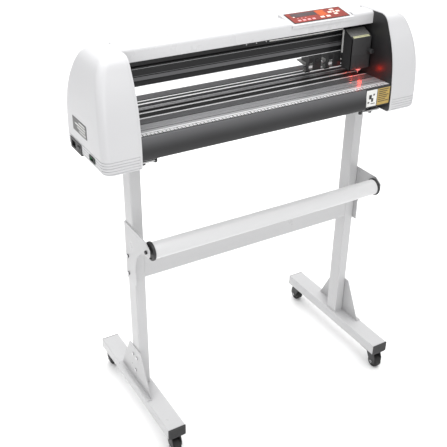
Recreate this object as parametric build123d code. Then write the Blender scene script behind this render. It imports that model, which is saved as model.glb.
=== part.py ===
from build123d import *
import math
import os

# A free-standing vinyl cutter: a printer-like cutting machine on a white steel
# stand with casters.  Millimetres, +Z up, +X along the machine to the right as
# the operator sees it, -Y towards the operator.  The origin is on the floor,
# under the middle of the stand.

# ---------------------------------------------------------------- driving sizes
MEDIA_OPENING = 736.0      # clear width between the two side plates
SIDE_PLATE_T = 6.0
END_CAP_W = 89.0
MACHINE_FRONT = 116.0      # reach of the end caps in front of the stand's middle
MACHINE_REAR = 116.0
MACHINE_BASE = 810.0       # height of the machine's underside
MACHINE_H = 255.0
SHELL_T = 3.0              # wall of the plastic end caps
CAP_CORNER_R = 22.0        # rounding of the end caps' outer upright edges

FOOT_SPACING = MEDIA_OPENING - 32.0   # between the middles of the two foot bars
FOOT_L = 450.0
FOOT_W = 52.0
FOOT_H = 33.0
TUBE_T = 2.0               # wall of the stand's steel tubes
CASTER_H = 59.0            # floor to the underside of a foot bar
CASTER_INSET = 32.0        # swivel axis in from the end of the foot bar
CASTER_TRAIL = 16.0
WHEEL_R = 20.0
WHEEL_W = 22.0

COLUMN_W = 30.0
COLUMN_D = 44.0
COLUMN_INSET = 4.0         # column middle inboard of the foot bar's middle
MOUNT_PLATE_T = 4.0
GUSSET_T = 3.0
GUSSET_H = 120.0
GUSSET_TOP = 35.0          # half width of a foot gusset at its top
GUSSET_FOOT = 96.0         # half width at its foot
CROSS_BEAM_H = 70.0
CROSS_BEAM_D = 40.0
CROSS_BEAM_Z = MACHINE_BASE - 326.0   # height of the cross beam's middle

ROLLER_R = 22.0
ROLLER_Y = -108.0
ROLLER_Z = MACHINE_BASE - 225.0
ROLLER_WALL = 1.5
STUB_R = 5.0

PLATEN_TOP = MACHINE_BASE + 79.0
PLATEN_FRONT = -108.0
PLATEN_REAR = 45.0
PLATEN_T = 5.0
PLATEN_DROP = 25.0         # depth of the platen's front wall and ribs
STRIP_FRONT = 2.0          # front edge of the cutting strip
STRIP_W = 20.0
STRIP_T = 1.0

GRIT_R = 8.0
GRIT_Y = 58.0
JOURNAL_R = 6.0
BUSH_R = 11.0

BEAM_FRONT = 30.0
BEAM_D = 36.0
BEAM_BASE = MACHINE_BASE + 144.0
BEAM_H = 62.0
RAIL_Z = BEAM_BASE + 46.0
RAIL_H = 8.0
RAIL_T = 5.0

COVER_T = 2.5
COVER_BEND = 10.0
LIP_Y = -12.0              # front face of the top cover's lip
LIP_BASE = MACHINE_BASE + 220.0
COVER_TOP_REAR = 56.0
COVER_REAR = 90.0
COVER_REAR_BASE = MACHINE_BASE + 150.0

CARRIAGE_X = MEDIA_OPENING / 2 - 37.5  # middle of the parked cutting carriage
CARRIAGE_W = 67.0
CARRIAGE_FRONT = -20.0
PLATE_Y = 17.0             # front face of the carriage's back plate
PLATE_T = 4.0
HEAD_BASE = PLATEN_TOP + 23.0

BELT_T = 1.5
BELT_H = 8.0
PULLEY_R = 10.0            # inner radius of the belt round a pulley
PULLEY_X = MEDIA_OPENING / 2 + 31.0
BELT_Y = 48.0              # middle between the belt's two runs

PINCH_X = (MEDIA_OPENING / 2 - 153.0, MEDIA_OPENING / 2 - 87.0)   # middles of the two pinch roller units
PINCH_W = 42.0
PINCH_R = 9.0
PINCH_LIFT = 15.0          # degrees between the lifted and the pressed arm

PANEL_W = 177.0            # keypad
PANEL_D = 54.0
PANEL_T = 1.2
PANEL_EDGE = 5.0           # from the housing's front face to the keypad
PANEL_X = MEDIA_OPENING / 2 - 166.5   # middle of the keypad

# ---------------------------------------------------------------- clearances
GAP = 0.5                  # between pieces that move past each other
RUNNING = 0.06             # radial, on journals and pins
SLIP = 0.4                 # sliding tongues

# ---------------------------------------------------------------- worked out
PLATE_IN = MEDIA_OPENING / 2
PLATE_OUT = PLATE_IN + SIDE_PLATE_T
CAP_OUT = PLATE_OUT + END_CAP_W
MACHINE_TOP = MACHINE_BASE + MACHINE_H
FOOT_X = FOOT_SPACING / 2
FOOT_TOP = CASTER_H + FOOT_H
COLUMN_X = FOOT_X - COLUMN_INSET
COLUMN_OUT = COLUMN_X + COLUMN_W / 2
COLUMN_TOP = MACHINE_BASE - MOUNT_PLATE_T
COVER_TOP = MACHINE_TOP - 1.0
BEAM_REAR = BEAM_FRONT + BEAM_D
BEAM_TOP = BEAM_BASE + BEAM_H
GRIT_Z = PLATEN_TOP - GRIT_R
BELT_BASE = BEAM_TOP + 6.0

parts = {}


# ---------------------------------------------------------------- small helpers
def block(x0, x1, y0, y1, z0, z1):
    """A box given by its six faces."""
    return Pos((x0 + x1) / 2, (y0 + y1) / 2, (z0 + z1) / 2) * Box(x1 - x0, y1 - y0, z1 - z0)


def rod_x(x0, x1, y, z, r):
    """A cylinder along X."""
    return Pos((x0 + x1) / 2, y, z) * Rot(0, 90, 0) * Cylinder(r, x1 - x0)


def rod_y(x, y0, y1, z, r):
    """A cylinder along Y."""
    return Pos(x, (y0 + y1) / 2, z) * Rot(90, 0, 0) * Cylinder(r, y1 - y0)


def rod_z(x, y, z0, z1, r):
    """A cylinder along Z."""
    return Pos(x, y, (z0 + z1) / 2) * Cylinder(r, z1 - z0)


def slab_x(points, x0, x1):
    """A polygon in (y, z), run along X."""
    face = Plane.YZ.offset(x0) * make_face(Polyline(*points, close=True))
    return extrude(face, amount=x1 - x0, dir=(1, 0, 0))


def run_x(edges, x0, x1):
    """A closed chain of edges in (y, z), run along X."""
    face = Plane.YZ.offset(x0) * make_face(edges)
    return extrude(face, amount=x1 - x0, dir=(1, 0, 0))


def run_y(edges, y0, y1):
    """A closed chain of edges in (x, z), run along Y."""
    face = Plane((0, y0, 0), x_dir=(1, 0, 0), z_dir=(0, -1, 0)) * make_face(edges)
    return extrude(face, amount=y1 - y0, dir=(0, 1, 0))


def flip(shape):
    """The mirror image on the other side of the machine."""
    return mirror(shape, about=Plane.YZ)


def group(shapes):
    """Separate solids kept in one node."""
    return Compound(children=[s for shape in shapes for s in shape.solids()])


def tube_box(x0, x1, y0, y1, z0, z1, wall, along):
    """A rectangular tube, open at both ends of the given axis."""
    cut = {"x": (0, wall, wall), "y": (wall, 0, wall), "z": (wall, wall, 0)}[along]
    inner = block(x0 + cut[0], x1 - cut[0], y0 + cut[1], y1 - cut[1], z0 + cut[2], z1 - cut[2])
    return block(x0, x1, y0, y1, z0, z1) - inner


# ---------------------------------------------------------------- stand
def caster_spots():
    """Swivel axes of the four casters, by name."""
    reach = FOOT_L / 2 - CASTER_INSET
    return {
        "front_left": (-FOOT_X, -reach),
        "front_right": (FOOT_X, -reach),
        "rear_left": (-FOOT_X, reach),
        "rear_right": (FOOT_X, reach),
    }


STEM_R = 4.0
TOP_PLATE_T = 2.5
TOP_PLATE_W = 46.0
TOP_PLATE_L = 60.0
FORK_TOP = CASTER_H - TOP_PLATE_T - GAP
FORK_PLATE_T = 3.0
FORK_PLATE_R = 17.0
FORK_LEG_T = 2.5
FOOT_CAP_FLANGE = 3.0
FOOT_CAP_T = 12.0


def foot_bar(side):
    x = side * FOOT_X
    half = FOOT_L / 2 - FOOT_CAP_FLANGE
    bar = tube_box(x - FOOT_W / 2, x + FOOT_W / 2, -half, half, CASTER_H, FOOT_TOP, TUBE_T, "y")
    for sx, sy in caster_spots().values():
        if sx * side > 0:
            bar -= rod_z(sx, sy, CASTER_H - 1, CASTER_H + TUBE_T + 1, STEM_R)
    return bar


def foot_end_cap(side, end):
    """Plug in the end of a foot bar, with a flange over the tube's edge."""
    x = side * FOOT_X
    face = end * FOOT_L / 2
    rim = face - end * FOOT_CAP_FLANGE
    inner = rim - end * FOOT_CAP_T
    flange = block(x - FOOT_W / 2, x + FOOT_W / 2, min(face, rim), max(face, rim), CASTER_H, FOOT_TOP)
    plug = block(x - FOOT_W / 2 + TUBE_T, x + FOOT_W / 2 - TUBE_T, min(rim, inner), max(rim, inner),
                 CASTER_H + TUBE_T, FOOT_TOP - TUBE_T)
    return flange + plug


BOLT_R = 3.0
BRACKET_BOLTS = (-27.0, 27.0)   # bolt heights about the cross beam's middle
BRACKET_BOLT_Y = 9.0
GUSSET_BOLTS = ((-12.0, 90.0), (12.0, 90.0), (0.0, 40.0))   # (y, height on the foot bar)
BOLT_DEPTH = 8.0
HEAD_R = 5.0
HEAD_T = 3.2


def column(side):
    x = side * COLUMN_X
    tube = tube_box(x - COLUMN_W / 2, x + COLUMN_W / 2, -COLUMN_D / 2, COLUMN_D / 2,
                    FOOT_TOP, COLUMN_TOP, TUBE_T, "z")
    for y, z in bracket_bolts() + gusset_bolts():
        out = side * COLUMN_OUT
        a, b = sorted((out - side * (TUBE_T + 1), out + side))
        tube -= rod_x(a, b, y, z, BOLT_R)
    return tube


def bracket_bolts():
    return [(BRACKET_BOLT_Y, CROSS_BEAM_Z + dz) for dz in BRACKET_BOLTS]


def gusset_bolts():
    return [(y, FOOT_TOP + h) for y, h in GUSSET_BOLTS]


def foot_gusset():
    """A folded plate on the outside of a column's foot, with a flange on the bar."""
    outline = [(-GUSSET_FOOT, FOOT_TOP), (GUSSET_FOOT, FOOT_TOP), (GUSSET_TOP, FOOT_TOP + GUSSET_H),
               (-GUSSET_TOP, FOOT_TOP + GUSSET_H)]
    plate = slab_x(outline, COLUMN_OUT, COLUMN_OUT + GUSSET_T)
    flange = block(COLUMN_OUT, FOOT_X + FOOT_W / 2 - 1, -GUSSET_FOOT, GUSSET_FOOT, FOOT_TOP,
                   FOOT_TOP + GUSSET_T)
    plate += flange
    for y, z in gusset_bolts():
        plate -= rod_x(COLUMN_OUT - 1, COLUMN_OUT + GUSSET_T + 1, y, z, BOLT_R)
    return plate


BRACKET_TOP = ROLLER_Z + 25.0
BRACKET_TIP = ROLLER_Y - 16.0
BRACKET_BASE = CROSS_BEAM_Z - CROSS_BEAM_H / 2 - 9.0
BRACKET_NECK = 14.0        # plate left in front of the column below the arc


def roller_bracket():
    """The side plate that carries one end of the media roller."""
    neck = -COLUMN_D / 2 - BRACKET_NECK
    arm_base = ROLLER_Z - 12.0
    outline = [
        Line((COLUMN_D / 2, BRACKET_BASE), (neck, BRACKET_BASE)),
        Line((neck, BRACKET_BASE), (neck, BRACKET_BASE + 36)),
        ThreePointArc((neck, BRACKET_BASE + 36), (neck - 22, arm_base - 26), (BRACKET_TIP + 6, arm_base)),
        Line((BRACKET_TIP + 6, arm_base), (BRACKET_TIP, arm_base + 6)),
        Line((BRACKET_TIP, arm_base + 6), (BRACKET_TIP, BRACKET_TOP - 14)),
        Line((BRACKET_TIP, BRACKET_TOP - 14), (BRACKET_TIP + 22, BRACKET_TOP)),
        Line((BRACKET_TIP + 22, BRACKET_TOP), (COLUMN_D / 2, BRACKET_TOP)),
        Line((COLUMN_D / 2, BRACKET_TOP), (COLUMN_D / 2, BRACKET_BASE)),
    ]
    plate = run_x(outline, COLUMN_OUT, COLUMN_OUT + GUSSET_T)
    plate -= rod_x(COLUMN_OUT - 1, COLUMN_OUT + GUSSET_T + 1, ROLLER_Y, ROLLER_Z, STUB_R + RUNNING)
    for y, z in bracket_bolts():
        plate -= rod_x(COLUMN_OUT - 1, COLUMN_OUT + GUSSET_T + 1, y, z, BOLT_R)
    return plate


def cross_beam():
    half = COLUMN_X - COLUMN_W / 2
    return tube_box(-half, half, -CROSS_BEAM_D / 2, CROSS_BEAM_D / 2,
                    CROSS_BEAM_Z - CROSS_BEAM_H / 2, CROSS_BEAM_Z + CROSS_BEAM_H / 2, TUBE_T, "x")


MOUNT_HALF_Y = 75.0
MOUNT_OUT = 22.0           # the plate's reach past the column's middle
MOUNT_BOLT_Y = 58.0


def mount_bolt_spots():
    return [(COLUMN_X - 6.0, y) for y in (-MOUNT_BOLT_Y, MOUNT_BOLT_Y)]


def top_mount():
    """The plate on a column's top that the machine is screwed to."""
    plate = block(COLUMN_X - COLUMN_W, COLUMN_X + MOUNT_OUT, -MOUNT_HALF_Y, MOUNT_HALF_Y, COLUMN_TOP,
                  MACHINE_BASE)
    for x, y in mount_bolt_spots():
        plate -= rod_z(x, y, COLUMN_TOP - 1, MACHINE_BASE + 1, BOLT_R)
    return plate


def side_screw(y, z):
    """A button-head bolt through an outer plate into a column."""
    face = COLUMN_OUT + GUSSET_T
    return rod_x(face - BOLT_DEPTH, face, y, z, BOLT_R) + rod_x(face, face + HEAD_T, y, z, HEAD_R)


def mount_screw(x, y):
    """A bolt from below through a top mount into the machine's base."""
    head = rod_z(x, y, COLUMN_TOP - HEAD_T, COLUMN_TOP, HEAD_R)
    return head + rod_z(x, y, COLUMN_TOP, MACHINE_BASE + TRAY_T, BOLT_R)


def stand_bolts():
    right = [side_screw(y, z) for y, z in bracket_bolts() + gusset_bolts()]
    right += [mount_screw(x, y) for x, y in mount_bolt_spots()]
    return group(right + [flip(bolt) for bolt in right])


def caster_stem(x, y):
    """Mounting plate under the bar with the king pin and its retaining head."""
    head_top = FORK_TOP - FORK_PLATE_T - GAP
    stem = rod_z(x, y, head_top, CASTER_H + 11, STEM_R)
    stem += rod_z(x, y, head_top - 3, head_top, STEM_R + 3)
    return stem + block(x - TOP_PLATE_W / 2, x + TOP_PLATE_W / 2, y - TOP_PLATE_L / 2, y + TOP_PLATE_L / 2,
                        CASTER_H - TOP_PLATE_T, CASTER_H)


AXLE_R = 3.0


def trailing(shape, x, y):
    """Front casters trail to the front and rear ones to the rear."""
    return shape.rotate(Axis((x, y, 0), (0, 0, 1)), 180) if y > 0 else shape


def caster_fork(x, y):
    """Turntable with two broad legs that trail to the axle."""
    inner = WHEEL_W / 2 + GAP + 0.5
    wheel_y = y - CASTER_TRAIL
    plate_base = FORK_TOP - FORK_PLATE_T
    fork = rod_z(x, y, plate_base, FORK_TOP, FORK_PLATE_R)
    outline = [(y + 12, plate_base + 1), (wheel_y - 6, plate_base + 1), (wheel_y - 14, WHEEL_R + 14),
               (wheel_y - 14, WHEEL_R + 2), (wheel_y - 6, WHEEL_R - 8), (wheel_y + 6, WHEEL_R - 8),
               (wheel_y + 12, WHEEL_R + 4)]
    for s in (-1, 1):
        a, b = sorted((x + s * inner, x + s * (inner + FORK_LEG_T)))
        fork += slab_x(outline, a, b)
    fork += block(x - inner - 1, x + inner + 1, wheel_y - 6, y, plate_base, plate_base + 2)
    fork -= rod_z(x, y, plate_base - 1, FORK_TOP + 1, STEM_R + RUNNING)
    reach = inner + FORK_LEG_T + 1
    fork -= rod_x(x - reach, x + reach, wheel_y, WHEEL_R, AXLE_R + RUNNING)
    return trailing(fork, x, y)


def caster_wheel(x, y):
    """Tread, hub and the axle that turns with them, with its two end heads."""
    wheel_y = y - CASTER_TRAIL
    half = WHEEL_W / 2
    wheel = rod_x(x - half, x + half, wheel_y, WHEEL_R, WHEEL_R)
    wheel = chamfer(wheel.edges().filter_by(GeomType.CIRCLE), 2)
    for s in (-1, 1):
        a, b = sorted((x + s * (half - 2), x + s * (half + 1)))
        wheel -= rod_x(a, b, wheel_y, WHEEL_R, WHEEL_R - 6) - rod_x(a, b, wheel_y, WHEEL_R, 7)
    reach = half + GAP + 0.5 + FORK_LEG_T + GAP
    wheel += rod_x(x - reach, x + reach, wheel_y, WHEEL_R, AXLE_R)
    for s in (-1, 1):
        a, b = sorted((x + s * reach, x + s * (reach + 2)))
        wheel += rod_x(a, b, wheel_y, WHEEL_R, AXLE_R + 2)
    return trailing(wheel, x, y)


# ---------------------------------------------------------------- media roller
FLANGE_T = 7.0
FLANGE_R = ROLLER_R + 3.0
ROLLER_HALF = COLUMN_OUT - 6.0 - FLANGE_T


def media_roller():
    tube = rod_x(-ROLLER_HALF, ROLLER_HALF, ROLLER_Y, ROLLER_Z, ROLLER_R)
    return tube - rod_x(-ROLLER_HALF - 1, ROLLER_HALF + 1, ROLLER_Y, ROLLER_Z, ROLLER_R - ROLLER_WALL)


def roller_end_plug():
    """Flanged plug with the stub axle that turns in a bracket."""
    plug = rod_x(ROLLER_HALF - 25, ROLLER_HALF, ROLLER_Y, ROLLER_Z, ROLLER_R - ROLLER_WALL)
    plug += rod_x(ROLLER_HALF, ROLLER_HALF + FLANGE_T, ROLLER_Y, ROLLER_Z, FLANGE_R)
    plug -= rod_x(ROLLER_HALF + FLANGE_T - 2, ROLLER_HALF + FLANGE_T + 1, ROLLER_Y, ROLLER_Z, FLANGE_R - 5)
    plug += rod_x(ROLLER_HALF, COLUMN_OUT + GUSSET_T + 4, ROLLER_Y, ROLLER_Z, STUB_R)
    return plug


# ---------------------------------------------------------------- machine housing
def housing_outline(inset=0.0, base=MACHINE_BASE):
    """Side profile of the machine in (y, z): flat base and top, bowed front and rear."""
    f = MACHINE_FRONT - inset
    r = MACHINE_REAR - inset
    z0 = base + inset
    z1 = MACHINE_TOP - inset
    waist = MACHINE_BASE + 0.2 * MACHINE_H
    shoulder = z1 - 25
    toe = 8.0
    return [
        Line((-f + toe, z0), (r - toe, z0)),
        Line((r - toe, z0), (r, z0 + toe)),
        Line((r, z0 + toe), (r, waist)),
        ThreePointArc((r, waist), (r - 11, waist + 0.55 * (shoulder - waist)), (r - 40, shoulder)),
        ThreePointArc((r - 40, shoulder), (r - 49, z1 - 6), (r - 64, z1)),
        Line((r - 64, z1), (-f + 64, z1)),
        ThreePointArc((-f + 64, z1), (-f + 49, z1 - 6), (-f + 40, shoulder)),
        ThreePointArc((-f + 40, shoulder), (-f + 9, waist + 0.5 * (shoulder - waist)), (-f, waist)),
        Line((-f, waist), (-f, z0 + toe)),
        Line((-f, z0 + toe), (-f + toe, z0)),
    ]


def cap_block(inset):
    """The solid outline of the right end cap, drawn in by an inset."""
    x0 = PLATE_OUT - 1 if inset else PLATE_OUT
    x1 = CAP_OUT - inset
    z0 = MACHINE_BASE + inset
    z1 = MACHINE_TOP - inset
    side = [
        Line((x0, z0), (x1 - 8, z0)),
        Line((x1 - 8, z0), (x1, z0 + 8)),
        Line((x1, z0 + 8), (x1, z0 + 0.55 * MACHINE_H)),
        ThreePointArc((x1, z0 + 0.55 * MACHINE_H), (x1 - 7, z1 - 55), (x1 - 30, z1 - 12)),
        ThreePointArc((x1 - 30, z1 - 12), (x1 - 39, z1 - 3), (x1 - 52, z1)),
        Line((x1 - 52, z1), (x0, z1)),
        Line((x0, z1), (x0, z0)),
    ]
    reach = MACHINE_FRONT + MACHINE_REAR
    solid = run_x(housing_outline(inset), x0, x1) & run_y(side, -reach, reach)
    corner = x1 - 2 * CAP_CORNER_R
    uprights = [e for e in solid.edges() if e.center().X > corner and e.bounding_box().size.Z > 10
                and abs(e.center().Y) > CAP_CORNER_R]
    return fillet(uprights, CAP_CORNER_R - inset)


def end_cap():
    """Hollow plastic shell, open towards the side plate."""
    return cap_block(0) - cap_block(SHELL_T)


INLET_Y, INLET_Z = 64.0, MACHINE_BASE + 19.0
INLET_W, INLET_H = 40.0, 28.0
SWITCH_Y = 30.0
SWITCH_W = 28.0
PORT_Y, PORT_Z = -50.0, MACHINE_BASE + 24.0
PORT_W, PORT_H = 32.0, 14.0


def left_end_cap():
    """The right cap's mirror image, with openings for the inlet, switch and port."""
    cap = flip(end_cap())
    x0, x1 = -CAP_OUT - 1, -CAP_OUT + INLET_DEPTH + 1
    cap -= block(x0, x1, SWITCH_Y - SWITCH_W / 2, INLET_Y + INLET_W / 2, INLET_Z - INLET_H / 2,
                 INLET_Z + INLET_H / 2)
    cap -= block(x0, x1, PORT_Y - PORT_W / 2, PORT_Y + PORT_W / 2, PORT_Z - PORT_H / 2, PORT_Z + PORT_H / 2)
    return cap


BELT_WINDOW = 5.0          # room round the belt where it passes a side plate
TAB_T = 4.0


def side_plate():
    """Right-hand plate with its bush hole and belt window."""
    plate = run_x(housing_outline(1.5), PLATE_IN, PLATE_OUT)
    plate -= rod_x(PLATE_IN - 1, PLATE_OUT + 1, GRIT_Y, GRIT_Z, BUSH_R)
    plate -= block(PLATE_IN - 1, PLATE_OUT + 1, BELT_Y - PULLEY_R - BELT_WINDOW,
                   BELT_Y + PULLEY_R + BELT_WINDOW,
                   BELT_BASE - BELT_WINDOW + 2, BELT_BASE + BELT_H + BELT_WINDOW)
    return plate


def left_side_plate():
    """Mirror of the right plate, with the tab that holds the idler pulley's post."""
    plate = flip(side_plate())
    top = BELT_BASE - 3
    tab = block(-PULLEY_X - 14, -PLATE_OUT, BELT_Y - 14, BELT_Y + 14, top - TAB_T, top)
    post = rod_z(-PULLEY_X, BELT_Y, top - TAB_T, BELT_BASE + BELT_H + 4, 3)
    return plate + tab + post


def cover_outline(inset):
    """Side outline of the top cover in (y, z), closed by a line under its two lower edges."""
    bend = COVER_BEND - inset
    top = COVER_TOP - inset
    lip = LIP_Y + inset
    drop = 1.0 if inset else 0.0
    slope = (COVER_REAR - COVER_TOP_REAR) / (COVER_TOP - COVER_REAR_BASE)
    rear = COVER_REAR - inset * math.hypot(1, slope) + drop * slope
    corner = rear - (top - COVER_REAR_BASE + drop) * slope
    k = bend * (1 - math.sqrt(0.5))
    return [
        Line((lip, LIP_BASE - drop), (lip, top - bend)),
        ThreePointArc((lip, top - bend), (lip + k, top - k), (lip + bend, top)),
        Line((lip + bend, top), (corner, top)),
        Line((corner, top), (rear, COVER_REAR_BASE - drop)),
        Line((rear, COVER_REAR_BASE - drop), (lip, LIP_BASE - drop)),
    ]


def top_cover():
    """Bent sheet with a front lip and a sloping rear wall, cut out under the controls."""
    outer = run_x(cover_outline(0), -PLATE_IN, PLATE_IN)
    inner = run_x(cover_outline(COVER_T), -PLATE_IN - 1, PLATE_IN + 1)
    half = PANEL_W / 2 + HOUSING_MARGIN
    hole = block(PANEL_X - half, PANEL_X + half, LIP_Y - 1, HOUSING_REAR - HOUSING_LEDGE, HOUSING_BASE,
                 COVER_TOP + 1)
    return outer - inner - hole


TRAY_T = 2.0
TRAY_FRONT = -50.0
TRAY_REAR = 100.0
GUIDE_GAP = 5.0            # from the grit roller to the platen's and the guide's edges
GUIDE_REAR = MACHINE_REAR - 2.0
GUIDE_RISE = 11.5
GUIDE_T = 4.0


def base_tray():
    """Bent sheet: floor, front wall under the platen and rear wall under the rear guide."""
    floor = block(-PLATE_IN, PLATE_IN, TRAY_FRONT, TRAY_REAR, MACHINE_BASE, MACHINE_BASE + TRAY_T)
    front = block(-PLATE_IN, PLATE_IN, TRAY_FRONT, TRAY_FRONT + TRAY_T, MACHINE_BASE,
                  PLATEN_TOP - PLATEN_DROP)
    rear = block(-PLATE_IN, PLATE_IN, TRAY_REAR - TRAY_T, TRAY_REAR, MACHINE_BASE, PLATEN_TOP - PLATEN_DROP)
    tray = floor + front + rear
    for x, y in mount_bolt_spots():
        for s in (-1, 1):
            tray -= rod_z(s * x, y, MACHINE_BASE - 1, MACHINE_BASE + TRAY_T + 1, BOLT_R)
    return tray


def platen():
    """Front platen: top skin with a front wall and two ribs."""
    top = block(-PLATE_IN, PLATE_IN, PLATEN_FRONT, PLATEN_REAR, PLATEN_TOP - PLATEN_T, PLATEN_TOP)
    for y in (PLATEN_FRONT, TRAY_FRONT - 1, PLATEN_REAR - 4):
        top += block(-PLATE_IN, PLATE_IN, y, y + 4, PLATEN_TOP - PLATEN_DROP, PLATEN_TOP - PLATEN_T + 1)
    top -= block(-PLATE_IN - 1, PLATE_IN + 1, STRIP_FRONT, STRIP_FRONT + STRIP_W, PLATEN_TOP - STRIP_T,
                 PLATEN_TOP + 1)
    return top


def cutting_strip():
    return block(-PLATE_IN + 1, PLATE_IN - 1, STRIP_FRONT, STRIP_FRONT + STRIP_W, PLATEN_TOP - STRIP_T,
                 PLATEN_TOP - 0.2)


def rear_guide():
    """Rear media guide, rising to the back, with a leg down to the tray's rear wall."""
    front = GRIT_Y + GRIT_R + GUIDE_GAP
    top = PLATEN_TOP
    skin = slab_x([(front, top), (front, top - GUIDE_T), (GUIDE_REAR, top + GUIDE_RISE - GUIDE_T),
                   (GUIDE_REAR, top + GUIDE_RISE)], -PLATE_IN, PLATE_IN)
    leg = block(-PLATE_IN, PLATE_IN, TRAY_REAR - 4, TRAY_REAR, PLATEN_TOP - PLATEN_DROP, top + 4)
    return skin + leg


APRON_RIGHT = PLATE_IN - 84.0
APRON_BASE = MACHINE_BASE + 22.0
APRON_BULGE = 8.0


def front_apron():
    """Curved front cover below the platen's front edge."""
    y = PLATEN_FRONT
    outer = [
        Line((y, PLATEN_TOP - 1), (y - 2, PLATEN_TOP - 1)),
        ThreePointArc((y - 2, PLATEN_TOP - 1), (y - APRON_BULGE + 1, PLATEN_TOP - 24),
                      (y - APRON_BULGE, APRON_BASE + 6)),
        Line((y - APRON_BULGE, APRON_BASE + 6), (y - APRON_BULGE + 4, APRON_BASE)),
        Line((y - APRON_BULGE + 4, APRON_BASE), (y + 14, APRON_BASE)),
        Line((y + 14, APRON_BASE), (y + 14, APRON_BASE + 3)),
        Line((y + 14, APRON_BASE + 3), (y - APRON_BULGE + 6, APRON_BASE + 3)),
        Line((y - APRON_BULGE + 6, APRON_BASE + 3), (y, PLATEN_TOP - PLATEN_DROP)),
        Line((y, PLATEN_TOP - PLATEN_DROP), (y, PLATEN_TOP - 1)),
    ]
    return run_x(outer, -PLATE_IN, APRON_RIGHT)


def label_plate():
    """Flat end piece that carries on from the apron to the right side plate."""
    y = PLATEN_FRONT
    face = block(APRON_RIGHT, PLATE_IN, y - 4, y, APRON_BASE + 4, PLATEN_TOP - 1)
    foot = block(APRON_RIGHT, PLATE_IN, y - 4, y + 20, APRON_BASE + 4, APRON_BASE + 6)
    return face + foot


def beam():
    """Aluminium cross beam with lengthwise grooves, hollow inside."""
    body = block(-PLATE_IN, PLATE_IN, BEAM_FRONT, BEAM_REAR, BEAM_BASE, BEAM_TOP)
    body -= block(-PLATE_IN - 1, PLATE_IN + 1, BEAM_FRONT + 4, BEAM_REAR - 3, BEAM_BASE + 14, BEAM_TOP - 3)
    tongue_y = PINCH_SLOT_Y
    body -= block(-PLATE_IN - 1, PLATE_IN + 1, tongue_y - SLOT_W / 2, tongue_y + SLOT_W / 2, BEAM_BASE - 1,
                  BEAM_BASE + SLOT_DEPTH)
    for z, h in BEAM_GROOVES:
        body -= block(-PLATE_IN - 1, PLATE_IN + 1, BEAM_FRONT - 1, BEAM_FRONT + 1.5, z, z + h)
    return body


PINCH_SLOT_Y = 48.0
SLOT_W = 9.0
SLOT_DEPTH = 8.0
BEAM_GROOVES = ((BEAM_BASE + 4.0, 9.0), (BEAM_BASE + 27.0, 3.0))   # (base height, height)


def guide_rail():
    return block(-PLATE_IN, PLATE_IN, BEAM_FRONT - RAIL_T, BEAM_FRONT, RAIL_Z - RAIL_H / 2,
                 RAIL_Z + RAIL_H / 2)


# ---------------------------------------------------------------- carriage and its drive
def drive_belt():
    def loop(r):
        half = Pos(0, BELT_Y, BELT_BASE + BELT_H / 2) * Box(2 * PULLEY_X, 2 * r, BELT_H)
        for s in (-1, 1):
            half += rod_z(s * PULLEY_X, BELT_Y, BELT_BASE, BELT_BASE + BELT_H, r)
        return half
    return loop(PULLEY_R + BELT_T) - loop(PULLEY_R)


def pulley(x):
    """Flanged toothed pulley, without its bore."""
    wheel = rod_z(x, BELT_Y, BELT_BASE - 0.5, BELT_BASE + BELT_H + 0.5, PULLEY_R - GAP)
    wheel += rod_z(x, BELT_Y, BELT_BASE - 2, BELT_BASE - 0.5, PULLEY_R + BELT_T + 1)
    return wheel


MOTOR_HALF = 25.0
MOTOR_TOP = BELT_BASE - 7.0
MOTOR_H = 48.0


def drive_pulley():
    """Pulley with the motor shaft that turns with it."""
    return pulley(PULLEY_X) + rod_z(PULLEY_X, BELT_Y, MOTOR_TOP - 15, BELT_BASE, 3)


def idler_pulley():
    bore = rod_z(-PULLEY_X, BELT_Y, BELT_BASE - 5, BELT_BASE + BELT_H + 5, 3 + RUNNING)
    return pulley(-PULLEY_X) - bore


def carriage_motor():
    x0 = PLATE_OUT
    body = block(x0, x0 + 2 * MOTOR_HALF, BELT_Y - MOTOR_HALF, BELT_Y + MOTOR_HALF,
                 MOTOR_TOP - MOTOR_H, MOTOR_TOP)
    return body - rod_z(PULLEY_X, BELT_Y, MOTOR_TOP - 20, MOTOR_TOP + 1, 3 + RUNNING)


HEAD_LEFT = CARRIAGE_X - CARRIAGE_W / 2
HEAD_RIGHT = CARRIAGE_X + CARRIAGE_W / 2
HEAD_FRONT_TOP = HEAD_BASE + 86.0
HEAD_REAR_TOP = HEAD_BASE + 104.0
COVER_WALL = 2.0
TOOL_X, TOOL_Y = HEAD_RIGHT - 19.0, 3.0
TOOL_R = 9.0
KNOB_X, KNOB_Z = HEAD_RIGHT - 8.0, HEAD_BASE + 48.0


SHOE_H = 8.0               # height of a shoe above and below the rail


def carriage_plate():
    """Back plate with the shoes that ride on the rail and the arm to the belt."""
    plate = block(HEAD_LEFT, HEAD_RIGHT, PLATE_Y, PLATE_Y + PLATE_T, HEAD_BASE + 12, BEAM_TOP - 1)
    shoe_back = BEAM_FRONT - GAP
    low = RAIL_Z - RAIL_H / 2 - GAP
    high = RAIL_Z + RAIL_H / 2 + GAP
    y0 = PLATE_Y + PLATE_T
    for x in (HEAD_LEFT + 4, HEAD_RIGHT - 20):
        plate += block(x, x + 16, y0 - 1, shoe_back, low - SHOE_H, low)
        plate += block(x, x + 16, y0 - 1, shoe_back, high, high + SHOE_H)
    arm_x0, arm_x1 = CARRIAGE_X - 10, CARRIAGE_X + 10
    plate += block(arm_x0, arm_x1, PLATE_Y, y0, BEAM_TOP - 2, BEAM_TOP + 4)
    belt_face = BELT_Y - PULLEY_R - BELT_T - GAP
    plate += block(arm_x0, arm_x1, PLATE_Y, belt_face, BEAM_TOP + 1.5, BEAM_TOP + 4)
    plate += block(arm_x0, arm_x1, belt_face - 3, belt_face, BEAM_TOP + 1.5, BELT_BASE + BELT_H)
    return plate


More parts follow.
